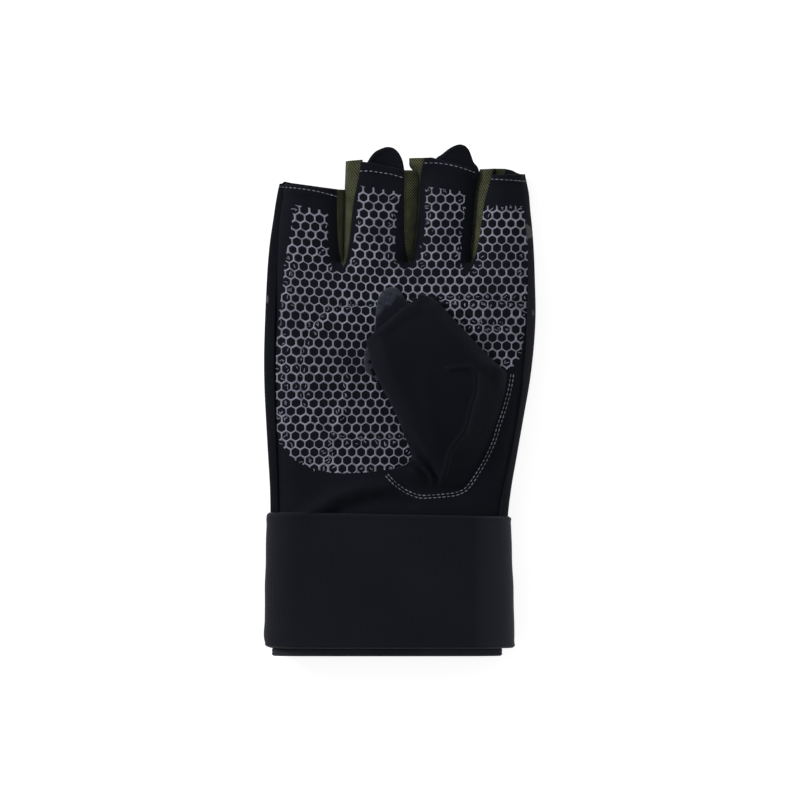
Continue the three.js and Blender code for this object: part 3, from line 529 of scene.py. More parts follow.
def back_surface(across, along):
    """From the back's unfolded cut to the glove: flat below, then rolled up round both sides."""
    left, right = left_side(along), right_side(along)
    side, top, low = side_level(along), top_level(along), floor_level(along)
    spread = np.clip(across, left + LOWER_REACH, right - LOWER_REACH)
    past = np.abs(across - spread)
    turn = np.clip(past / SIDE_ROLL, 0, 1) * math.pi / 2
    roll = np.maximum(past - SIDE_ROLL, 0) / TOP_ROLL
    outward = np.sign(across - spread)
    x = spread + outward * LOWER_REACH * np.sin(turn) - outward * OUTER_REACH * (1 - np.cos(roll))
    z = side - (side - low) * np.cos(turn) + (top - side) * np.sin(roll)
    return np.stack([x, along, z], axis=-1)


def seam_roll(seam, side, along):
    """How far round the side the back's cut goes to meet the palm's seam."""
    off = np.abs(seam(along) - side(along))
    return SIDE_ROLL + TOP_ROLL * np.arccos(np.clip(1 - off / OUTER_REACH, -1, 1))


def back_outline(step=0.8):
    """The back's cut: up the left seam, over the finger ends and round the gaps, and down the right seam."""
    ends = {name: np.array([place(*row) for row in rows]) for name, rows in BACK_ENDS.items()}
    names = list(BACK_ENDS)
    rows = np.arange(WRIST_END, ends["little"][0][1] - 0.5, step)
    parts = [np.stack([left_side(rows) + LOWER_REACH - seam_roll(left_seam, left_side, rows), rows], 1)]
    rows_right = ends["index"][-1][1] - 0.6
    for index, name in enumerate(names):
        known = ends[name]
        last = index == len(names) - 1
        left = parts[-1][-1][0] if index == 0 else finger_left[name](FINGER_TOP) + GUSSET_TURN
        if last:
            right = right_side(rows_right) - LOWER_REACH + seam_roll(right_seam, right_side, rows_right)
        else:
            right = finger_right[name](FINGER_TOP) - GUSSET_TURN
        at = np.linspace(left, right, max(2, round((right - left) / step)))
        # The index finger's end goes on round the side, so its table is stretched to the seam
        read_at = np.minimum(at, at[0] + (known[-1][0] - at[0]) * (at - at[0]) / (right - at[0])) if last else at
        high = np.interp(read_at, known[:, 0], known[:, 1])
        parts.append(np.stack([at, high], 1))
        if not last:
            after = names[index + 1]
            down = np.arange(high[-1] - step, CROTCH + 1.5, -step)
            parts.append(np.stack([finger_right[name](down) - GUSSET_TURN, down], 1))
            bend = np.linspace(math.pi, 2 * math.pi, 11)
            x0 = finger_right[name](CROTCH) - GUSSET_TURN
            x1 = finger_left[after](CROTCH) + GUSSET_TURN
            middle, half = (x0 + x1) / 2, (x1 - x0) / 2
            parts.append(np.stack([middle + half * np.cos(bend), CROTCH + 1.0 + half * np.sin(bend)], 1))
            known = ends[after]
            top = np.interp(finger_left[after](FINGER_TOP) + GUSSET_TURN, known[:, 0], known[:, 1])
            up = np.arange(CROTCH + 1.5, top - step / 2, step)
            parts.append(np.stack([finger_left[after](up) + GUSSET_TURN, up], 1))
    rows = np.arange(rows_right - step, WRIST_END, -step)
    parts.append(np.stack([right_side(rows) - LOWER_REACH + seam_roll(right_seam, right_side, rows), rows], 1))
    across = np.arange(parts[-1][-1][0] - 1.5, parts[0][0][0], -1.5)
    parts.append(np.stack([across, np.full_like(across, WRIST_END)], 1))
    return np.concatenate(parts)


printed_finish, printed_shader = new_finish("printed_back_cloth", (0.02, 0.02, 0.02), 0.9, 0.03)
printed_place = add_node(printed_finish, "ShaderNodeTexCoord").outputs["Object"]
printed_cloth = weave(printed_finish, printed_shader, printed_place, 0.25, (0.0034, 0.0043, 0.0064))
printed_split = add_node(printed_finish, "ShaderNodeSeparateXYZ", in_0=printed_place)
printed_low = ranged(printed_finish, printed_split.outputs[2], 0.0062, 0.0082, 1.0, 0.0)
printed_tip = ranged(printed_finish, printed_split.outputs[1], 0.0865, 0.0885)
printed_where = reckon(printed_finish, "MAXIMUM", printed_low, printed_tip)
# Painted light: the cloth right of x 30 to 50 mm is painted paler, for the light that side catches
printed_right_painted_light = ranged(printed_finish, printed_split.outputs[0], 0.03, 0.05)
printed_colour = mixed(printed_finish, printed_right_painted_light, printed_cloth, (0.0115, 0.0132, 0.017))
for scale, detail, bent, (low_edge, high_edge), colour in BLOTCHES:
    noise = add_node(printed_finish, "ShaderNodeTexNoise", in_Vector=printed_place, in_Scale=scale, in_Detail=detail,
                     in_Distortion=bent)
    if colour == BLOTCHES[-1][-1]:
        noise.noise_dimensions = "4D"
        noise.inputs["W"].default_value = BLOTCH_SEED
    blotch = ranged(printed_finish, noise.outputs["Fac"], low_edge, high_edge)
    blotch = reckon(printed_finish, "MULTIPLY", blotch, printed_where)
    printed_colour = mixed(printed_finish, blotch, printed_colour, colour)
ragged = fuzz(printed_finish, printed_place, 330.0, in_Detail=2.0)
for spot_place, spot_size, colour in PRINT_SPOTS:
    away = add_node(printed_finish, "ShaderNodeVectorMath", operation="DISTANCE", in_0=printed_place)
    away.inputs[1].default_value = [c * MM for c in spot_place]
    rough_edge = reckon(printed_finish, "MULTIPLY_ADD", ragged, 0.0045, away.outputs["Value"])
    spot = ranged(printed_finish, rough_edge, (spot_size + 2.3) * MM, (spot_size + 2.0) * MM)
    printed_colour = mixed(printed_finish, spot, printed_colour, colour)
feed(printed_finish, printed_shader, Base_Color=printed_colour)

back_edge = back_outline()
back_flat, back_faces = cut_sheet(back_edge, BACK_GRAIN)
back_points = back_surface(back_flat[:, 0], back_flat[:, 1])
back = mesh_piece("back_panel_cloth", back_points, back_faces[:, ::-1], printed_finish)
thicken(back, BACK_CLOTH)
finish_piece(back, "printed_cloth", "back_panel")

# Mesh gussets. A narrow strip of olive spacer mesh between each pair of fingers, sewn to the palm's
# edge in front and to the back's below, and bent round the crotch between them.
GUSSET_CLOTH = 1.2
NET_PITCH = 1.2
WALL_SHORT = 0.5
TUCK = 0.6
TUCK_SINK = 0.95
FLOOR_GAP = 0.2
GUSSET_ROWS = 72
GUSSET_ROUND = 14
GUSSET_WALL = 12
# How far each finger's gusset reaches: places across the hand and along the fingers, as shares
GUSSET_ENDS = {
    "little": ((-0.5, 1.73), (-0.2, 1.69)),
    "ring": ((-0.215, 2.0), (-0.14, 1.985), (0.0, 1.89), (0.08, 1.85)),
    "middle": ((0.025, 1.99), (0.13, 2.01), (0.3, 1.87)),
    "index": ((0.28, 1.893), (0.34, 1.895), (0.4, 1.893), (0.43, 1.884), (0.447, 1.868), (0.47, 1.81)),
}


def grid_piece(name, grid, finish, uv=None, closed=False):
    """A sheet from rows of points in millimetres, with its own flat coordinates as UVs. A closed one
    joins its last row and its last column to its first."""
    rows, columns = grid.shape[:2]
    faces = []
    last = columns if closed else columns - 1
    for r in range(rows if closed else rows - 1):
        s = (r + 1) % rows
        for c in range(last):
            d = (c + 1) % columns
            faces.append((r * columns + c, r * columns + d, s * columns + d, s * columns + c))
    piece = mesh_piece(name, grid.reshape(-1, 3), faces, finish)
    if uv is not None:
        layer = piece.data.uv_layers.new(name="cloth")
        flat = np.empty((len(piece.data.loops), 2))
        for polygon in piece.data.polygons:
            r, c = divmod(polygon.index, last)
            for corner_index, loop in zip(((r, c), (r, c + 1), (r + 1, c + 1), (r + 1, c)), polygon.loop_indices):
                flat[loop] = uv[corner_index] * MM
        layer.data.foreach_set("uv", flat.ravel())
    return piece


def leg(points, count):
    """A line's points, a set count of them evenly spaced."""
    points = np.asarray(points, float)
    gone = np.concatenate([[0], np.cumsum(np.linalg.norm(np.diff(points, axis=0), axis=1))])
    at = np.linspace(0, gone[-1], count)
    return np.stack([np.interp(at, gone, points[:, k]) for k in range(2)], 1)


def net_cloth(name):
    """Olive net: slanting threads with dark holes between them."""
    finish, shader = new_finish(name, (0.05, 0.055, 0.035), 0.88, 0.1)
    shader.inputs["Sheen Weight"].default_value = 0.08
    where = add_node(finish, "ShaderNodeUVMap", uv_map="cloth").outputs[0]
    split = add_node(finish, "ShaderNodeSeparateXYZ", in_0=where)
    slants = []
    for operation in ("ADD", "SUBTRACT"):
        slant = reckon(finish, operation, split.outputs[0], split.outputs[1])
        slants.append(reckon(finish, "SINE", reckon(finish, "MULTIPLY", slant, math.pi / (NET_PITCH * MM))))
    threads = reckon(finish, "ABSOLUTE", reckon(finish, "MULTIPLY", *slants))
    hole = ranged(finish, threads, 0.58, 0.26)
    patchy = fuzz(finish, where, 160.0, in_Detail=4.0)
    cloth = mixed(finish, ranged(finish, patchy, 0.3, 0.7), (0.042, 0.046, 0.02), (0.12, 0.125, 0.068))
    net = mixed(finish, hole, (0.004, 0.0045, 0.002), cloth)
    feed(finish, shader, Base_Color=net, Roughness=ranged(finish, patchy, 0.0, 1.0, 0.8, 0.95))
    roughen(finish, shader, hole, 0.18, 0.9)
    return finish


net_finish = net_cloth("olive_spacer_mesh")


def finger_end(name, x):
    """Where a finger's gusset ends, at a place across the hand."""
    known = np.array([place(*row) for row in GUSSET_ENDS[name]])
    return float(np.interp(x, known[:, 0], known[:, 1]))


def gusset_grid(index):
    """One strip: down a finger's side, round the crotch and up the next. Each of its rows runs from
    under the palm's edge over the rounded shoulder and down the wall to the back."""
    before, after, reach = PAIRS[index]
    edge_down, edge_up = GAP_EDGES[index]
    end_before = finger_end(before, edge_down[0][0])
    end_after = finger_end(after, edge_up[-1][0])
    edge_down = np.array([[edge_down[0][0], end_before], *edge_down[edge_down[:, 1] < end_before - 1]])
    edge_up = np.array([*edge_up[edge_up[:, 1] < end_after - 1], [edge_up[-1][0], end_after]])
    short = WALL_SHORT if index == 0 else 0.0
    y_down, y_up = np.linspace(end_before, CROTCH, 60), np.linspace(CROTCH, end_after - short, 60)
    wall_down = np.stack([finger_right[before](y_down), y_down], 1)
    wall_up = np.stack([finger_left[after](y_up), y_up], 1)
    middle = (wall_down[-1] + wall_up[0]) / 2
    half = (wall_up[0] - wall_down[-1])[0] / 2
    bend = np.linspace(math.pi, 2 * math.pi, 9)
    arc = middle + half * np.stack([np.cos(bend), np.sin(bend)], 1)
    edge = np.concatenate([leg(smooth_line(edge_down, 0.5), GUSSET_ROWS),
                           leg(smooth_line(edge_up, 0.5), GUSSET_ROWS)[1:]])
    wall = np.concatenate([leg(np.concatenate([wall_down, arc[1:5]]), GUSSET_ROWS),
                           leg(np.concatenate([arc[4:8], wall_up]), GUSSET_ROWS)[1:]])
    run = np.gradient(wall, axis=0)
    inner = np.stack([run[:, 1], -run[:, 0]], 1)
    inner /= np.maximum(np.linalg.norm(inner, axis=1, keepdims=True), 1e-9)
    inner[GUSSET_ROWS - 1] = (0, -1)
    edge = edge + inner * TUCK
    off = np.linalg.norm(edge - wall, axis=1)
    start = np.arccos(np.clip(1 - off / reach, -1, 1))
    columns = []
    for step in range(GUSSET_ROUND + 1):
        share = step / GUSSET_ROUND
        turn = start * (1 - share)
        part = (1 - np.cos(turn)) / np.maximum(1 - np.cos(start), 1e-6)
        plan = wall + (edge - wall) * part[:, None]
        high = side_level(plan[:, 1]) + np.sin(turn) * (top_level(plan[:, 1]) - side_level(plan[:, 1]))
        if step == 0:
            first_gap = body_top(plan[:, 0], plan[:, 1]) - high
        high = high + first_gap * (1 - share) ** 1.5 - TUCK_SINK * (1 - share) ** 3
        columns.append(np.column_stack([plan, high]))
    low = floor_level(wall[:, 1])
    side = side_level(wall[:, 1])
    for step in range(1, GUSSET_WALL + 1):
        turn = math.pi / 2 * (1 - step / GUSSET_WALL)
        plan = wall + inner * GUSSET_TURN * (1 - math.sin(turn))
        columns.append(np.column_stack([plan, side - (side - low - FLOOR_GAP) * math.cos(turn)]))
    grid = np.stack(columns, 1)
    along = np.concatenate([[0], np.cumsum(np.linalg.norm(np.diff(wall, axis=0), axis=1))])
    across = np.concatenate([np.zeros((len(wall), 1)), np.cumsum(np.linalg.norm(np.diff(grid, axis=1), axis=2), 1)],
                            1)
    uv = np.stack([across, np.repeat(along[:, None], across.shape[1], 1)], -1)
    return grid[:, ::-1], uv[:, ::-1]


for gap_index, (before, after, reach) in enumerate(PAIRS):
    gusset_points, gusset_uv = gusset_grid(gap_index)
    gusset = grid_piece(f"gusset_mesh_{before}_{after}", gusset_points, net_finish, gusset_uv)
    thicken(gusset, GUSSET_CLOTH)
    finish_piece(gusset, "olive_mesh", f"gusset_{before}_{after}")

# Pull tabs. Two small loops of the palm's cloth under the ring and middle hems, to pull the glove
# off by. Each is a strip folded double into a rounded tongue, sewn in behind the hem.
TAB_CLOTH = 1.1
TAB_DROP = 1.9
TAB_WELT = 0.55
TAB_WAVE = 0.4
TABS = {
    "ring": ((365, 172), (366, 165), (368, 161), (370.5, 157), (375, 152), (380.5, 149), (387, 147), (393, 148),
             (398, 152),
             (401.5, 158), (404, 168), (404.5, 176), (385, 182)),
    "middle": ((434, 172), (434.5, 164), (436.5, 158), (441, 155), (446, 151), (452, 147), (461, 144.6), (465, 146),
               (468.5, 149.5),
               (471, 155), (473.5, 162), (478, 168), (479, 174), (455, 182)),
}
for tab_name, tab_places in TABS.items():
    tab_edge = smooth_line(np.concatenate([traced(*tab_places), traced(tab_places[0])]), 0.5)[:-1]
    tab_flat, tab_faces = cut_sheet(tab_edge, 0.8)
    tab_off = distance_to(tab_flat, tab_edge, True)
    tab_top = top_level(tab_flat[:, 1]) - TAB_DROP
    tab_crown = TAB_WELT * np.clip(1 - np.abs(tab_off - 1.1) / 0.9, 0, 1) ** 2
    tab_high = tab_top + tab_crown + 0.5 * corner(tab_off, 1.0) - 0.5 + TAB_WAVE * np.sin(tab_flat[:, 0] * 0.35)
    tab = mesh_piece(f"pull_tab_{tab_name}_loop", np.column_stack([tab_flat, tab_high]), tab_faces, palm_finish)
    thicken(tab, TAB_CLOTH)
    finish_piece(tab, "black_cloth", f"pull_tab_{tab_name}")

# Grip patch. A honeycomb of soft grey rubber, printed in low relief straight on the palm's cloth.
# Its cells are roundish, stand on their points, and close with a wavy line at the patch's edge.
CELL_PITCH = 3.83
CELL_ROW = 3.34
CELL_ORIGIN = traced((445.5, 305.5))[0]
CELL_HOLE = 1.59
HEXAGON_SHARE = 0.7
CELL_STEPS = 4
PRINT_RISE = 0.4
PRINT_SEAT = 0.08
PRINT_TILT = 0.07
CRUSH = 0.42
CRUSH_WIDTH = 2.6
BROKEN_BAND = 4.2
PATCH_EDGE = traced(
    (294, 205), (292, 225), (288, 245), (285, 265), (283, 285), (281, 302), (278.5, 325), (276.5, 350), (276, 380),
                    (276, 410),
    (277.5, 430), (281, 443), (288, 453), (297, 461), (306, 466), (318, 470), (330, 472), (345, 473), (365, 472),
                    (385, 470),
    (400, 467), (412, 462), (418, 450), (430, 400), (470, 380), (500, 372), (509, 368), (517, 364), (521, 355),
                    (522.5, 345),
    (524.5, 330), (526.5, 300), (527.5, 280), (527.5, 250), (523.5, 206), (484, 206), (481, 228), (478, 248),
                    (476, 262),
    (468, 274), (460, 266), (461, 245), (464, 215), (465, 192), (426, 187), (425.5, 215), (424, 238), (421, 252),
                    (413, 266),
    (404, 270), (396, 262), (395, 240), (397, 215), (401, 192), (359, 186), (357, 215), (354, 240), (351, 258),
                    (345, 272),
    (337, 272), (330, 262), (328, 240), (328, 212))

# The folds along which the print is broken
BROKEN_LINES = (
    traced((437, 299), (526, 302)),
    traced((455, 323), (502, 326)),
    traced((333, 309), (376, 305)),
    traced((318, 320), (309, 332), (304, 346), (302, 362), (301, 382), (304, 400)),
    traced((350, 385), (344, 402), (338, 425), (330, 445), (320, 466)),
    traced((325, 437), (405, 437)),
)


def hexagon_cells():
    """The honeycomb's cell centres, and which of them are whole."""
    centres = {}
    for r in range(-32, 28):
        for c in range(-21, 15):
            x = (c + (0.5 if r % 2 else 0.0)) * CELL_PITCH + CELL_ORIGIN[0]
            y = r * CELL_ROW + CELL_ORIGIN[1]
            bow = PRINT_TILT * max(0.0, -x - 4.0) * max(0.0, min(1.0, (y - 5) / 30))
            centres[(r, c)] = (x + 0.04 * max(0.0, y - 45) * min(0.0, x) / 20, y + bow)
    names = list(centres)
    points = np.array([centres[name] for name in names])
    whole = inside(points, PATCH_EDGE) | (distance_to(points, PATCH_EDGE, True) < CELL_PITCH * 0.7)
    return centres, {name for name, good in zip(names, whole) if good}


NEIGHBOURS = {
    0: ((0, 1), (1, 0), (1, -1), (0, -1), (-1, -1), (-1, 0)),
    1: ((0, 1), (1, 1), (1, 0), (0, -1), (-1, 0), (-1, 1)),
}
# Each row: how far from the cell's edge to its hole, and the print's height there
PRINT_PROFILE = ((0.0, 1.0), (0.5, 0.93), (0.85, 0.62), (1.0, 0.0))


def honeycomb():
    """Each cell's ring, from the middle of the print's lines down into the cell's round hole."""
    centres, whole = hexagon_cells()
    rng = np.random.default_rng(7)
    points, faces, index_of = [], [], {}
    steps = CELL_STEPS

    def point(key, x, y, rise):
        if key not in index_of:
            index_of[key] = len(points)
            points.append((x, y, rise))
        return index_of[key]

    for cell in centres:
        r, c = cell
        around = [(r + dr, c + dc) for dr, dc in NEIGHBOURS[r % 2]]
        kept = [k for k in range(6) if cell in whole or around[k] in whole]
        if not kept or not all(name in centres for name in around):
            continue
        centre = np.array(centres[cell])
        swell = 1 + 0.05 * rng.standard_normal()
        for k in kept:
            # The edge shared with neighbour k runs between two corners, each the middle of three cells
            beside = np.array(centres[around[k]])
            ends, end_keys = [], []
            for other in (around[k - 1], around[(k + 1) % 6]):
                ends.append((centre + beside + np.array(centres[other])) / 3)
                end_keys.append(tuple(sorted((cell, around[k], other))))
            rim, hole = [], []
            for s in range(steps + 1):
                rim.append(ends[0] + (ends[1] - ends[0]) * (s / steps))
                way = rim[-1] - centre
                reach = np.linalg.norm(way)
                hexagon = CELL_HOLE * reach / (CELL_PITCH / 2)
                hole.append(centre + way / reach * (HEXAGON_SHARE * hexagon + (1 - HEXAGON_SHARE) * CELL_HOLE) * swell)
            ring = []
            for share, rise in PRINT_PROFILE:
                row = []
                for s in range(steps + 1):
                    x, y = rim[s] + (hole[s] - rim[s]) * share
                    # Points on the shared edge are one point for both cells, counted from the lower-named one
                    if s in (0, steps):
                        end = end_keys[0] if s == 0 else end_keys[1]
                        key = ("rim", end) if share == 0.0 else (cell, end, share)
                    elif share == 0.0:
                        first = min(cell, around[k])
                        off = round(float(np.linalg.norm(rim[s] - np.array(centres[first]))), 4)
                        key = ("edge", tuple(sorted((cell, around[k]))), off, s if cell < around[k] else steps - s)
                    else:
                        key = (cell, k, share, s)
                    row.append(point(key, x, y, rise * PRINT_RISE))
                ring.append(row)
            for low, high in zip(ring[:-1], ring[1:]):
                faces.extend((low[s], low[s + 1], high[s + 1], high[s]) for s in range(steps))
    points, faces = np.array(points), np.array(faces)
    return points, faces[inside(points[faces][:, :, :2].mean(1), PATCH_EDGE)]


def broken_strokes(points, faces):
    """Short stray strokes of print inside the cells near the patch's edges and along its folds."""
    rng = np.random.default_rng(23)
    centres, whole = hexagon_cells()
    cells = np.array([centres[name] for name in whole])
    cells = cells[inside(cells, PATCH_EDGE)]
    left = distance_to(cells, PATCH_EDGE[3:12])
    folds = np.min([distance_to(cells, line) for line in BROKEN_LINES], axis=0)
    tips = distance_to(cells, PATCH_EDGE, True)
    chance = np.select([left < BROKEN_BAND * 1.2, folds < BROKEN_BAND * 0.7, tips < BROKEN_BAND * 0.8],
                       [0.8, 0.75, 0.6])
    new_points, new_faces, first = [], [], len(points)
    for cell in cells[rng.random(len(cells)) < chance]:
        for stroke in range(rng.integers(1, 4)):
            turn = rng.uniform(0, math.pi)
            way = np.array([math.cos(turn), math.sin(turn)])
            side = np.array([-way[1], way[0]])
            centre = cell + rng.uniform(-0.75, 0.75, 2)
            long, wide = rng.uniform(0.45, 1.0), rng.uniform(0.13, 0.24)
            for along in (-1, -0.45, 0.45, 1):
                slim = 1.0 if abs(along) < 0.9 else 0.35
                for across, rise in ((-1, 0.0), (-0.45, 0.75), (0.45, 0.75), (1, 0.0)):
                    x, y = centre + way * along * long + side * across * wide * slim
                    new_points.append((x, y, rise * slim * PRINT_RISE))
            for r in range(3):
                for c in range(3):
                    a = first + r * 4 + c
                    new_faces.append((a, a + 4, a + 5, a + 1))
            first += 16
    return np.concatenate([points, new_points]), np.concatenate([faces, np.array(new_faces)[:, ::-1]])


def crushed(plan):
    """Plan points drawn in towards the quilting's lines, where the cloth dips and the print closes up."""
    moved = plan.copy()
    for line, width, swell in QUILTING[:3]:
        line = smooth_line(line, 1.0)
        off = plan[:, None, :] - line[None]
        nearest = line[(off**2).sum(2).argmin(1)]
        gap = plan - nearest
        moved -= CRUSH * gap * np.exp(-((gap**2).sum(1) / CRUSH_WIDTH**2))[:, None]
    return moved


grip_finish, grip_shader = new_finish("grey_grip_print", (0.2, 0.2, 0.225), 0.5, 0.35)
grip_place = add_node(grip_finish, "ShaderNodeTexCoord").outputs["Object"]
grip_mottle = fuzz(grip_finish, grip_place, 420.0, in_Detail=4.0)
grip_patchy = fuzz(grip_finish, grip_place, 40.0, in_Detail=3.0)
grip_tone = ranged(grip_finish, reckon(grip_finish, "MULTIPLY_ADD", grip_patchy, 0.6, grip_mottle), 0.55, 1.05)
grip_colour = mixed(grip_finish, grip_tone, (0.09, 0.091, 0.12), (0.25, 0.253, 0.318))
grip_rough = ranged(grip_finish, grip_mottle, 0.0, 1.0, 0.42, 0.62)
feed(grip_finish, grip_shader, Base_Color=grip_colour, Roughness=grip_rough)
roughen(grip_finish, grip_shader, grip_mottle, 0.05, 0.5)

print_flat, print_faces = broken_strokes(*honeycomb())
print_flat[:, :2] = crushed(print_flat[:, :2])
print_high = body_top(print_flat[:, 0], print_flat[:, 1]) + print_flat[:, 2] - PRINT_SEAT
grip = mesh_piece("grip_honeycomb", np.column_stack([print_flat[:, :2], print_high]), print_faces, grip_finish)
finish_piece(grip, "grip_print", "grip_patch")

# Thumb sleeve. A tube of the palm's cloth, folded flat over the palm and sewn in round its root with
# two rows of stitches. Its mouth is open to the upper left, where the fleece of its back shows.
THUMB_CLOTH = 1.4
THUMB_GRAIN = 0.8
THUMB_SEAT = 0.6
THUMB_LENGTH = 73.3
THUMB_TURN = math.radians(17.4)
THUMB_ROOT = np.array(place(0.194, 0.095))
THUMB_ROWS = (0.07, 0.2, 0.42, 0.75, 1.2, 1.8)
INNER_ROUND = 7.5
OUTER_ROUND = 8.0
MOUTH_WELT = 0.35
MOUTH_ROUND = 0.7
MOUTH = traced((366, 341), (372, 335), (380, 328), (388, 321), (396, 314), (404, 307.5), (411, 303), (418, 299),
               (425, 296.8), (431, 297))
OUTER_EDGE = traced((431, 297), (439, 302.5), (446, 311), (456, 322), (466, 332.5), (476, 343), (486, 353.5),
                    (497, 364), (508, 373.5))
BASE_EDGE = traced((508, 373.5), (505.5, 390), (501, 407), (496, 422.5), (490, 438.5), (483.5, 453), (476.5, 465.5),
                   (469.5, 476.5), (462, 484.5),
                   (451, 489), (440, 490.5), (428, 490.5), (416.5, 489), (407.5, 485.5), (400, 480.5), (394.5, 475),
                   (391, 470))
INNER_EDGE = traced((391, 470), (397, 468), (404, 465.5), (409, 461), (411.5, 455), (409, 447), (405, 437),
                    (400.5, 425), (395, 412),
                    (389, 400), (383, 390), (377, 378), (372, 366), (369, 354), (366, 341))


def thumb_share(points):
    """How far along the thumb, from 0 at its root to 1 at its mouth."""
    off = np.asarray(points) - THUMB_ROOT
    return (-off[:, 0] * math.sin(THUMB_TURN) + off[:, 1] * math.cos(THUMB_TURN)) / THUMB_LENGTH


thumb_lift = reader([-0.1, 0.0, 0.11, 0.2, 0.29, 0.37, 0.47, 0.57, 0.68, 0.79, 0.9, 1.0, 1.1, 1.3],
                    [2.6, 3.3, 4.6, 6.2, 7.8, 9.0, 10.0, 10.6, 10.8, 10.7, 10.2, 9.2, 8.6, 8.0])
FOLD_SCALE = 1.5
ROOT_REACH = 8.5
RIGHT_REACH = 3.0
# Each row: a fold's line, its width and its rise
THUMB_FOLDS = [
    (traced((448, 369), (460, 368), (470, 367), (475, 372), (476, 385), (475, 395), (471.5, 405), (468, 420),
            (465, 430),
            (460, 437), (452, 447), (448, 455), (445, 470), (440, 485)), 0.8, 0.75),
    (traced((455, 373.5), (462, 373), (469, 373)), 0.45, 0.2),
    (traced((405, 432), (412, 443), (421, 455), (430, 467), (435, 480), (437, 489)), 2.2, -2.3),
    (traced((425, 380), (428, 405), (431, 425), (436, 445)), 3.4, 0.5),
    (traced((413, 463), (419, 468), (425, 476), (427, 484)), 1.5, -2.0),
    (traced((414, 458), (424, 465), (431, 475), (433, 486)), 0.8, 1.3),
    (traced((384, 333), (400, 320), (418, 308)), 1.6, 0.3),
]
THUMB_RIDGE = traced((507, 371), (492, 366), (479, 369), (475, 385), (474, 396), (471, 405), (468, 420), (463, 434),
                     (454, 447), (449, 455),
                     (446, 470), (441, 488))


def thumb_top(points):
    """The height of the sleeve's upper side over plan points."""
    lift = thumb_lift(thumb_share(points))
    inner = corner(distance_to(points, INNER_EDGE[3:]), INNER_ROUND)
    outer = corner(distance_to(points, OUTER_EDGE), OUTER_ROUND)
    base_off = distance_to(points, BASE_EDGE)
    ridge_off = distance_to(points, THUMB_RIDGE)
    # Right of the ridge the sleeve falls evenly to its seam
    beyond = inside(points, np.concatenate([THUMB_RIDGE[::-1], BASE_EDGE[:11]]))
    slope = np.where(beyond, base_off / (base_off + ridge_off + 0.01), 1.0)
    reach = np.interp(points[:, 0], (14.9, 24.8), (ROOT_REACH, RIGHT_REACH))
    near = np.clip(base_off / reach, 0, 1)
    rise = inner * outer * np.minimum(near**2 * (3 - 2 * near), slope)
    high = lift * rise
    for line, width, swell in THUMB_FOLDS:
        high = high + FOLD_SCALE * swell * rise * np.exp(-(distance_to(points, line) / width) ** 2)
    seat = 0.15 + THUMB_SEAT * np.clip(base_off / 3, 0, 1)
    return body_top(points[:, 0], points[:, 1]) + seat + high


def even_side(line):
    """One side of the sleeve's cut in even steps, without its last point."""
    line = smooth_line(line, 0.5)
    return leg(line, max(8, round(np.linalg.norm(np.diff(line, axis=0), axis=1).sum() / 0.6)))[:-1]


thumb_edge = np.concatenate([even_side(line) for line in (MOUTH, OUTER_EDGE, BASE_EDGE, INNER_EDGE)])
thumb_flat, thumb_faces = cut_sheet(thumb_edge, THUMB_GRAIN, THUMB_ROWS)
thumb_high = thumb_top(thumb_flat)
mouth_off = distance_to(thumb_flat, MOUTH)
thumb_high = thumb_high + MOUTH_WELT * np.clip(1 - np.abs(mouth_off - 1.4) / 1.4, 0, 1)
thumb_high = thumb_high - MOUTH_ROUND * (1 - corner(mouth_off, 0.8))
thumb = mesh_piece("thumb_sleeve_cloth", np.column_stack([thumb_flat, thumb_high]), thumb_faces, palm_finish)
thicken(thumb, THUMB_CLOTH)
finish_piece(thumb, "black_cloth", "thumb_front")

# Back of the thumb sleeve. A sheet of grey fleece that lies on the palm inside the sleeve, and shows
# as a rounded corner beyond the mouth and as a sliver down the sleeve's left edge.
FLEECE = 1.3
FLEECE_SEAT = 0.95
FLEECE_SWELL = 0.95
# The painted shadow along the mouth: its width, and the place along the hand below which it stops
MOUTH_SHADOW_BAND = 5.2
MOUTH_SHADOW_LOW = 24.0
FLEECE_EDGE = traced((366, 372), (364, 362), (365, 352), (368.5, 344), (373.5, 334), (375.5, 320), (376.5, 307),
                     (379, 297), (384, 290.5),
                     (391, 287.5), (397, 288.5), (401, 292.5), (404.5, 298.5), (410, 304), (422, 302), (431, 303),
                     (440, 308), (456, 326),
                     (476, 347), (495, 366), (480, 374), (440, 385), (410, 395), (390, 396), (382, 386), (376, 379.5))
fleece_finish, fleece_shader = new_finish("grey_fleece", (0.05, 0.054, 0.065), 0.95, 0.05)
fleece_shader.inputs["Sheen Weight"].default_value = 0.12
fleece_shader.inputs["Sheen Roughness"].default_value = 0.6
fleece_place = add_node(fleece_finish, "ShaderNodeTexCoord").outputs["Object"]
fleece_fuzz = fuzz(fleece_finish, fleece_place, 700.0, in_Detail=5.0, in_Roughness=0.7)
fleece_tone = ranged(fleece_finish, fleece_fuzz, 0.35, 0.65)
fleece_colour = mixed(fleece_finish, fleece_tone, (0.009, 0.011, 0.018), (0.03, 0.034, 0.05))
# Painted shadow: the fleece is darkened to near black in a band along the sleeve's mouth
mouth_shadow_mark = add_node(fleece_finish, "ShaderNodeAttribute", attribute_name="lining").outputs["Fac"]
mouth_shadow_colour = mixed(fleece_finish, mouth_shadow_mark, fleece_colour, (0.0018, 0.003, 0.0075))
feed(fleece_finish, fleece_shader, Base_Color=mouth_shadow_colour)
roughen(fleece_finish, fleece_shader, fleece_fuzz, 0.5, 0.9)
fleece_line = smooth_line(np.concatenate([FLEECE_EDGE, FLEECE_EDGE[:1]]), 0.6)[:-1]
fleece_flat, fleece_faces = cut_sheet(fleece_line, 1.0)
fleece_off = distance_to(fleece_flat, fleece_line, True)
fleece_high = body_top(fleece_flat[:, 0], fleece_flat[:, 1]) + FLEECE_SEAT + FLEECE_SWELL * corner(fleece_off, 1.6)
fleece = mesh_piece("thumb_back_fleece", np.column_stack([fleece_flat, fleece_high]), fleece_faces, fleece_finish)
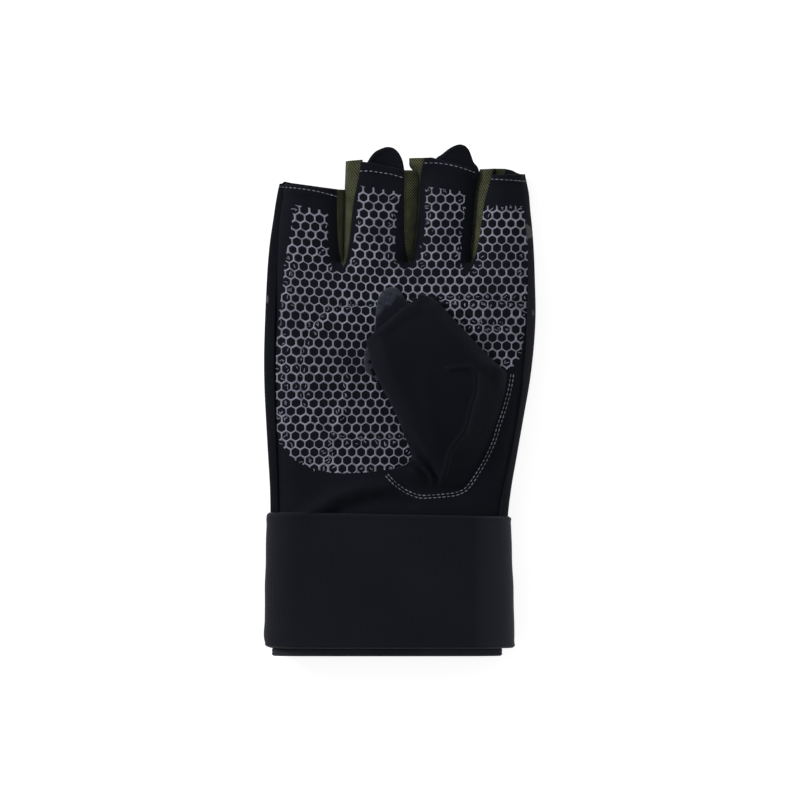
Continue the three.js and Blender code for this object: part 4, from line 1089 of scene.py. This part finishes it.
# Painted shadow: a dark band along the sleeve's mouth, where its hollow lies in shade
lining = fleece.data.attributes.new("lining", "FLOAT", "POINT")
mouth_gap = distance_to(fleece_flat, MOUTH) + 0.5 * np.sin(fleece_flat[:, 0] * 1.3)
mouth_shadow_share = np.where(fleece_flat[:, 1] > MOUTH_SHADOW_LOW, np.clip((MOUTH_SHADOW_BAND - mouth_gap) / 1.2, 0, 1), 0.0)
lining.data.foreach_set("value", mouth_shadow_share)
thicken(fleece, FLEECE)
finish_piece(fleece, "fleece", "thumb_back")

# Wrist wrap. A wide band of ribbed black elastic, wound round the wrist over the glove, with a
# woven selvedge along both edges. It closes on itself below with hook tape.
WRAP_LOW = -101.4
WRAP_HIGH = -46.4
WRAP_LEVELS = (1.5, 21.7)
WRAP_CLOTH = 1.8
WRAP_TURN = 260
WRAP_ROWS = 90
WRAP_SLANT = 1.0
SELVEDGE = 0.28
RIB_PITCH = 1.2
PICK_PITCH = 0.7
wrap_left = reader([WRAP_LOW, -100.6, -99, -90, -80, -70, -60, -52, -47.8, WRAP_HIGH],
                   [-53.6, -54.6, -55.2, -55.3, -55.2, -55.0, -54.8, -54.5, -54.2, -53.2])
wrap_right = reader([WRAP_LOW, -97, -85, -70, -58, -50, WRAP_HIGH], [47.0, 47.1, 46.9, 46.4, 46.0, 45.7, 45.5])


def wrist_ring(y, out, left, right, low, high):
    """A flattened ring round the wrist: its lower side flat with round corners, its upper domed."""
    left, right, low, high = left - out, right + out, low - out, high + out
    middle, half = (left + right) / 2, (right - left) / 2
    side = low + (high - low) * SIDE_SHARE
    angle = np.linspace(0, 2 * math.pi, WRAP_TURN, endpoint=False)
    reach_up, reach_low = min(OUTER_REACH, half * 0.9), LOWER_REACH + 1.0
    # Even steps round: flat runs between two rounded sides
    upper = np.sin(angle) >= 0
    run = np.where(upper, reach_up, reach_low)
    share = np.abs(np.where(upper, angle, angle - math.pi) / math.pi * 2 - 1)
    flat = (half - run) / half
    bend = np.clip((share - flat) / (1 - flat), 0, 1) * math.pi / 2
    off = np.where(share < flat, share * half, (half - run) + run * np.sin(bend))
    turn = np.where(share < flat, 1.0, np.cos(bend))
    sign = np.where(upper, np.sign(math.pi / 2 - angle), np.sign(angle - 1.5 * math.pi))
    crown = np.where(upper, 1 - DOME_CROWN * (off / half) ** 2, 1.0)
    z = np.where(upper, side + (high - side) * turn * crown, side - (side - low) * turn)
    return np.stack([middle + sign * off, np.full(WRAP_TURN, y), z], 1)


def band(name, finish, rows, thickness, left, right, levels, swell, shift=None):
    """A closed band round the wrist, its two sides and its swell read at each row's place."""
    def ring(y, out):
        return wrist_ring(y, out, left(y), right(y), *levels)

    outer = np.stack([ring(y, swell(y)) for y in rows[::-1]])
    inner = np.stack([ring(y, -thickness) for y in rows])
    grid = np.concatenate([outer, inner])
    around = np.linalg.norm(np.diff(np.concatenate([outer[0], outer[0][:1]]), axis=0), axis=1)
    across = np.concatenate([[0], np.cumsum(around)])
    seam = np.concatenate([grid[:, 0], grid[:1, 0]])
    down = np.concatenate([[0], np.cumsum(np.linalg.norm(np.diff(seam, axis=0), axis=1))])
    uv = np.stack(np.meshgrid(across, down), -1)
    if shift:
        grid = shift(grid.reshape(-1, 3)).reshape(grid.shape)
    return grid_piece(name, grid, finish, uv, closed=True)


elastic_finish, elastic_shader = new_finish("ribbed_elastic", (0.0095, 0.0105, 0.0145), 0.8, 0.12)
elastic_shader.inputs["Sheen Weight"].default_value = 0.06
elastic_place = add_node(elastic_finish, "ShaderNodeUVMap", uv_map="cloth").outputs[0]
elastic_split = add_node(elastic_finish, "ShaderNodeSeparateXYZ", in_0=elastic_place)
elastic_wobble = fuzz(elastic_finish, elastic_place, 90.0, in_Detail=2.0)
elastic_fuzz = fuzz(elastic_finish, elastic_place, 1100.0, in_Detail=3.0)
elastic_patchy = fuzz(elastic_finish, elastic_place, 26.0, in_Detail=3.0)
rib_across = reckon(elastic_finish, "MULTIPLY_ADD", elastic_wobble, 0.0006, elastic_split.outputs[0])
rib_angle = reckon(elastic_finish, "MULTIPLY", rib_across, 2 * math.pi / (RIB_PITCH * MM))
pick_angle = reckon(elastic_finish, "MULTIPLY", elastic_split.outputs[1], 2 * math.pi / (PICK_PITCH * MM))
rib_wave, pick_wave = (reckon(elastic_finish, "SINE", angle) for angle in (rib_angle, pick_angle))
rib_height = reckon(elastic_finish, "MULTIPLY_ADD", pick_wave, 0.3, rib_wave)
rib_height = reckon(elastic_finish, "ADD", rib_height, elastic_fuzz)
elastic_tone = ranged(elastic_finish, reckon(elastic_finish, "MULTIPLY_ADD", rib_height, 0.1, elastic_patchy), 0.2,
                      1.0)
elastic_colour = mixed(elastic_finish, elastic_tone, (0.0019, 0.0025, 0.0052), (0.0056, 0.0066, 0.0118))
# Painted highlight: the thumb side of the band is painted paler, for the light it catches where it turns down
elastic_where = add_node(elastic_finish, "ShaderNodeTexCoord").outputs["Object"]
elastic_side = add_node(elastic_finish, "ShaderNodeSeparateXYZ", in_0=elastic_where).outputs[0]
elastic_painted_highlight = ranged(elastic_finish, elastic_side, 0.03, 0.045, 0.0, 0.9)
elastic_highlighted_colour = mixed(elastic_finish, elastic_painted_highlight, elastic_colour, (0.018, 0.0192, 0.0275))
elastic_rough = ranged(elastic_finish, elastic_fuzz, 0.0, 1.0, 0.72, 0.9)
feed(elastic_finish, elastic_shader, Base_Color=elastic_highlighted_colour, Roughness=elastic_rough)
roughen(elastic_finish, elastic_shader, rib_height, 0.045, 0.5)


def wrap_swell(y):
    """How far the wrap stands out: its selvedges, their rounded ends and a slight bulge."""
    near = min(y - WRAP_LOW, WRAP_HIGH - y)
    edge = SELVEDGE * math.exp(-((near - 1.1) / 0.75) ** 2)
    rolled = -0.7 * (1 - float(corner(np.array(near), 0.7)))
    return edge + rolled + 0.12 * math.sin(y * 0.31) * math.exp(-((y + 72) / 14) ** 2)


def slanted(points):
    """The wrap's upper edge runs down a little towards the thumb side."""
    near_top = np.clip((points[:, 1] + 72) / 25.6, 0, 1)
    moved = points.copy()
    moved[:, 1] -= WRAP_SLANT * near_top * (points[:, 0] + 15) / 50
    return moved


wrap_lines = np.linspace(WRAP_LOW, WRAP_HIGH, WRAP_ROWS)
wrap = band("wrist_wrap_elastic", elastic_finish, wrap_lines, WRAP_CLOTH, wrap_left, wrap_right, WRAP_LEVELS,
            wrap_swell, slanted)
finish_piece(wrap, "elastic", "wrist_wrap")

# Cuff. The glove's own wrist band of folded black cloth, inside the wrap and showing 3 mm below it,
# with two fine ridges of stitching round it.
CUFF_CLOTH = 1.5
CUFF_LOW = -104.68
CUFF_HIGH = -55.4
CUFF_SIDES = (-52.1, 41.9)
CUFF_LEVELS = (5.5, 17.7)
CUFF_ROWS = 120
CUFF_RIDGES = (0.9, 2.2)


def cuff_swell(y):
    """How far the cuff stands out: its two ridges, and its rounded end."""
    from_end = y - CUFF_LOW
    ridges = 0.3 * sum(math.exp(-((from_end - ridge) / 0.3) ** 2) for ridge in CUFF_RIDGES)
    return ridges - 0.5 * (1 - float(corner(np.array(from_end), 0.6)))


cuff_finish = stretch_cloth("black_cuff_cloth", (0.019, 0.0205, 0.0265))
cuff_lines = np.linspace(CUFF_LOW, CUFF_HIGH, CUFF_ROWS)
cuff = band("wrist_cuff_band", cuff_finish, cuff_lines, CUFF_CLOTH, lambda y: CUFF_SIDES[0], lambda y: CUFF_SIDES[1],
            CUFF_LEVELS, cuff_swell)
finish_piece(cuff, "black_cloth", "wrist_cuff")

# Closure. A patch of hook tape with rounded corners at its free end, under the wrap, where the
# wrap's end fastens on itself. Only seen from below.
CLOSURE = (-26.0, -96.9, 26.0, -50.9)
CLOSURE_CORNER = 8.0
CLOSURE_THICKNESS = 1.2
hook_finish, hook_shader = new_finish("black_hook_tape", (0.009, 0.009, 0.011), 0.7, 0.2)
hook_place = add_node(hook_finish, "ShaderNodeTexCoord").outputs["Object"]
hooks = add_node(hook_finish, "ShaderNodeTexVoronoi", in_Vector=hook_place, in_Scale=900.0, in_Randomness=0.3)
hook_off = hooks.outputs["Distance"]
roughen(hook_finish, hook_shader, hook_off, 0.4, 1.0)
hook_colour = mixed(hook_finish, ranged(hook_finish, hook_off, 0.1, 0.7), (0.02, 0.02, 0.023), (0.005, 0.005, 0.006))
feed(hook_finish, hook_shader, Base_Color=hook_colour)
left, low, right, high = CLOSURE
bend = np.linspace(-math.pi / 2, 0, 10)
quarter = CLOSURE_CORNER * np.stack([np.cos(bend), np.sin(bend)], 1)
upper_quarter = CLOSURE_CORNER * np.stack([np.cos(bend + math.pi / 2), np.sin(bend + math.pi / 2)], 1)
closure_edge = np.concatenate([[(left, low)], quarter + (right - CLOSURE_CORNER, low + CLOSURE_CORNER),
                               upper_quarter + (right - CLOSURE_CORNER, high - CLOSURE_CORNER), [(left, high)]])
closure_line = leg(np.concatenate([closure_edge, closure_edge[:1]]), 240)[:-1]
closure_flat, closure_faces = cut_sheet(closure_line, 2.0)
closure_off = distance_to(closure_flat, closure_line, True)
closure_low = 0.35 * (1 - corner(closure_off, 0.8))
closure = mesh_piece("closure_hook_tape", np.column_stack([closure_flat, closure_low]), closure_faces[:, ::-1],
                     hook_finish)
thicken(closure, CLOSURE_THICKNESS)
finish_piece(closure, "hook_tape", "wrap_closure")

# Seam stitching. Rows of pale grey thread round the thumb's root and along the finger hems. Each
# stitch is a short rounded thread that lies a little across its row.
THREAD_RADIUS = 0.23


def stitch_tree():
    """Node group: puts a short thread at even steps along each curve."""
    tree = bpy.data.node_groups.new("stitch_row", "GeometryNodeTree")
    tree.interface.new_socket("Geometry", in_out="INPUT", socket_type="NodeSocketGeometry")
    for name, value in (("Pitch", 0.0019), ("Length", 0.0013), ("Radius", 0.00026), ("Lean", 0.15)):
        tree.interface.new_socket(name, in_out="INPUT", socket_type="NodeSocketFloat").default_value = value
    tree.interface.new_socket("Thread", in_out="INPUT", socket_type="NodeSocketMaterial")
    tree.interface.new_socket("Geometry", in_out="OUTPUT", socket_type="NodeSocketGeometry")
    nodes = tree.nodes
    start = nodes.new("NodeGroupInput")
    end = nodes.new("NodeGroupOutput")
    curve = nodes.new("GeometryNodeMeshToCurve")
    steps = nodes.new("GeometryNodeCurveToPoints")
    steps.mode = "LENGTH"
    ball = nodes.new("GeometryNodeMeshUVSphere")
    ball.inputs["Segments"].default_value = 8
    ball.inputs["Rings"].default_value = 5
    ball.inputs["Radius"].default_value = 1.0
    half = nodes.new("ShaderNodeMath")
    half.operation = "MULTIPLY"
    half.inputs[1].default_value = 0.5
    size = nodes.new("ShaderNodeCombineXYZ")
    threads = nodes.new("GeometryNodeInstanceOnPoints")
    turn = nodes.new("FunctionNodeRotateRotation")
    turn.rotation_space = "LOCAL"
    lean = nodes.new("FunctionNodeAxisAngleToRotation")
    lean.inputs["Axis"].default_value = (1, 0, 0)
    real = nodes.new("GeometryNodeRealizeInstances")
    paint = nodes.new("GeometryNodeSetMaterial")
    smooth = nodes.new("GeometryNodeSetShadeSmooth")
    for source, output, target, place_in in (
        (start, "Geometry", curve, "Mesh"), (curve, "Curve", steps, "Curve"), (start, "Pitch", steps, "Length"),
        (start, "Length", half, 0), (start, "Radius", size, "X"), (start, "Radius", size, "Y"), (half, 0, size, "Z"),
        (start, "Lean", lean, "Angle"), (steps, "Rotation", turn, "Rotation"), (lean, "Rotation", turn, "Rotate By"),
        (steps, "Points", threads, "Points"), (ball, "Mesh", threads, "Instance"),
        (turn, "Rotation", threads, "Rotation"), (size, "Vector", threads, "Scale"),
        (threads, "Instances", real, "Geometry"), (real, "Geometry", smooth, "Geometry"),
        (smooth, "Geometry", paint, "Geometry"), (start, "Thread", paint, "Material"),
        (paint, "Geometry", end, "Geometry"),
    ):
        tree.links.new(source.outputs[output], target.inputs[place_in])
    return tree


stitch_group = stitch_tree()


def stitch_rows(name, rows, finish, pitch=1.9, length=1.5, radius=THREAD_RADIUS, lean=0.22):
    """Threads along rows of points in millimetres, as one mesh."""
    points, edges = [], []
    for row in rows:
        first = len(points)
        points.extend((np.asarray(row) * MM).tolist())
        edges.extend((first + i, first + i + 1) for i in range(len(row) - 1))
    guide_mesh = bpy.data.meshes.new(name + "_guide")
    guide_mesh.from_pydata(points, edges, [])
    guide = bpy.data.objects.new(name + "_guide", guide_mesh)
    bpy.context.scene.collection.objects.link(guide)
    threads = guide.modifiers.new("stitches", "NODES")
    threads.node_group = stitch_group
    settings = {"Pitch": pitch * MM, "Length": length * MM, "Radius": radius * MM, "Lean": lean, "Thread": finish}
    for socket in stitch_group.interface.items_tree:
        if socket.in_out == "INPUT" and socket.name in settings:
            threads[socket.identifier] = settings[socket.name]
    seen = guide.evaluated_get(bpy.context.evaluated_depsgraph_get())
    mesh = bpy.data.meshes.new_from_object(seen)
    mesh.name = name
    if not mesh.materials:
        mesh.materials.append(finish)
    piece = bpy.data.objects.new(name, mesh)
    bpy.context.scene.collection.objects.link(piece)
    bpy.data.objects.remove(guide)
    return piece


def on_body(line, lift):
    """A plan line laid on the glove's body, lifted a little."""
    line = smooth_line(line, 0.4)
    return np.column_stack([line, body_top(line[:, 0], line[:, 1]) + lift])


thread_finish, thread_shader = new_finish("grey_thread", (0.2, 0.21, 0.23), 0.6, 0.3)
thread_place = add_node(thread_finish, "ShaderNodeTexCoord").outputs["Object"]
thread_fuzz = fuzz(thread_finish, thread_place, 420.0, in_Detail=4.0)
thread_tone = ranged(thread_finish, thread_fuzz, 0.3, 0.7)
thread_colour = mixed(thread_finish, thread_tone, (0.05, 0.055, 0.075), (0.24, 0.25, 0.3))
feed(thread_finish, thread_shader, Base_Color=thread_colour)
roughen(thread_finish, thread_shader, thread_fuzz, 0.1, 0.8)

# The double row round the thumb's root, just outside the sleeve's seam
BASE_ROW = ((512, 376), (510, 388), (507.5, 398), (503.5, 412), (499, 425), (494.5, 440), (489.5, 452), (484, 463),
            (478, 473), (472, 482), (465, 490), (456, 494), (445, 495.5), (432, 496.5), (419, 496.5), (409, 493),
            (399, 487), (392, 481), (387.5, 476))
# One row along each finger's hem
HEM_ROWS = (
    ((280, 187), (300, 189), (318, 192), (336, 196.5)),
    ((361, 171.5), (370, 171.5), (380, 173), (390, 174.5), (401, 177.5)),
    ((426, 163.5), (436, 163.5), (445, 164.5), (455, 166.5), (465, 169.5), (474, 172.5)),
    ((492, 179.5), (510, 180.5), (526, 181.5)),
)
base_row = traced(*BASE_ROW)
row_run = np.gradient(base_row, axis=0)
row_side = np.stack([row_run[:, 1], -row_run[:, 0]], 1) / np.linalg.norm(row_run, axis=1, keepdims=True)
thumb_rows = [on_body(base_row - row_side * 0.4, 0.22), on_body(base_row + row_side * 0.75, 0.26)]
thumb_stitches = stitch_rows("thumb_seam_stitches", thumb_rows, thread_finish)
finish_piece(thumb_stitches, "black_cloth")
hem_rows = [on_body(traced(*row), 0.6) for row in HEM_ROWS]
hem_stitches = stitch_rows("hem_stitches", hem_rows, thread_finish, 1.9, 1.6, 0.19, 0.2)
finish_piece(hem_stitches, "black_cloth")
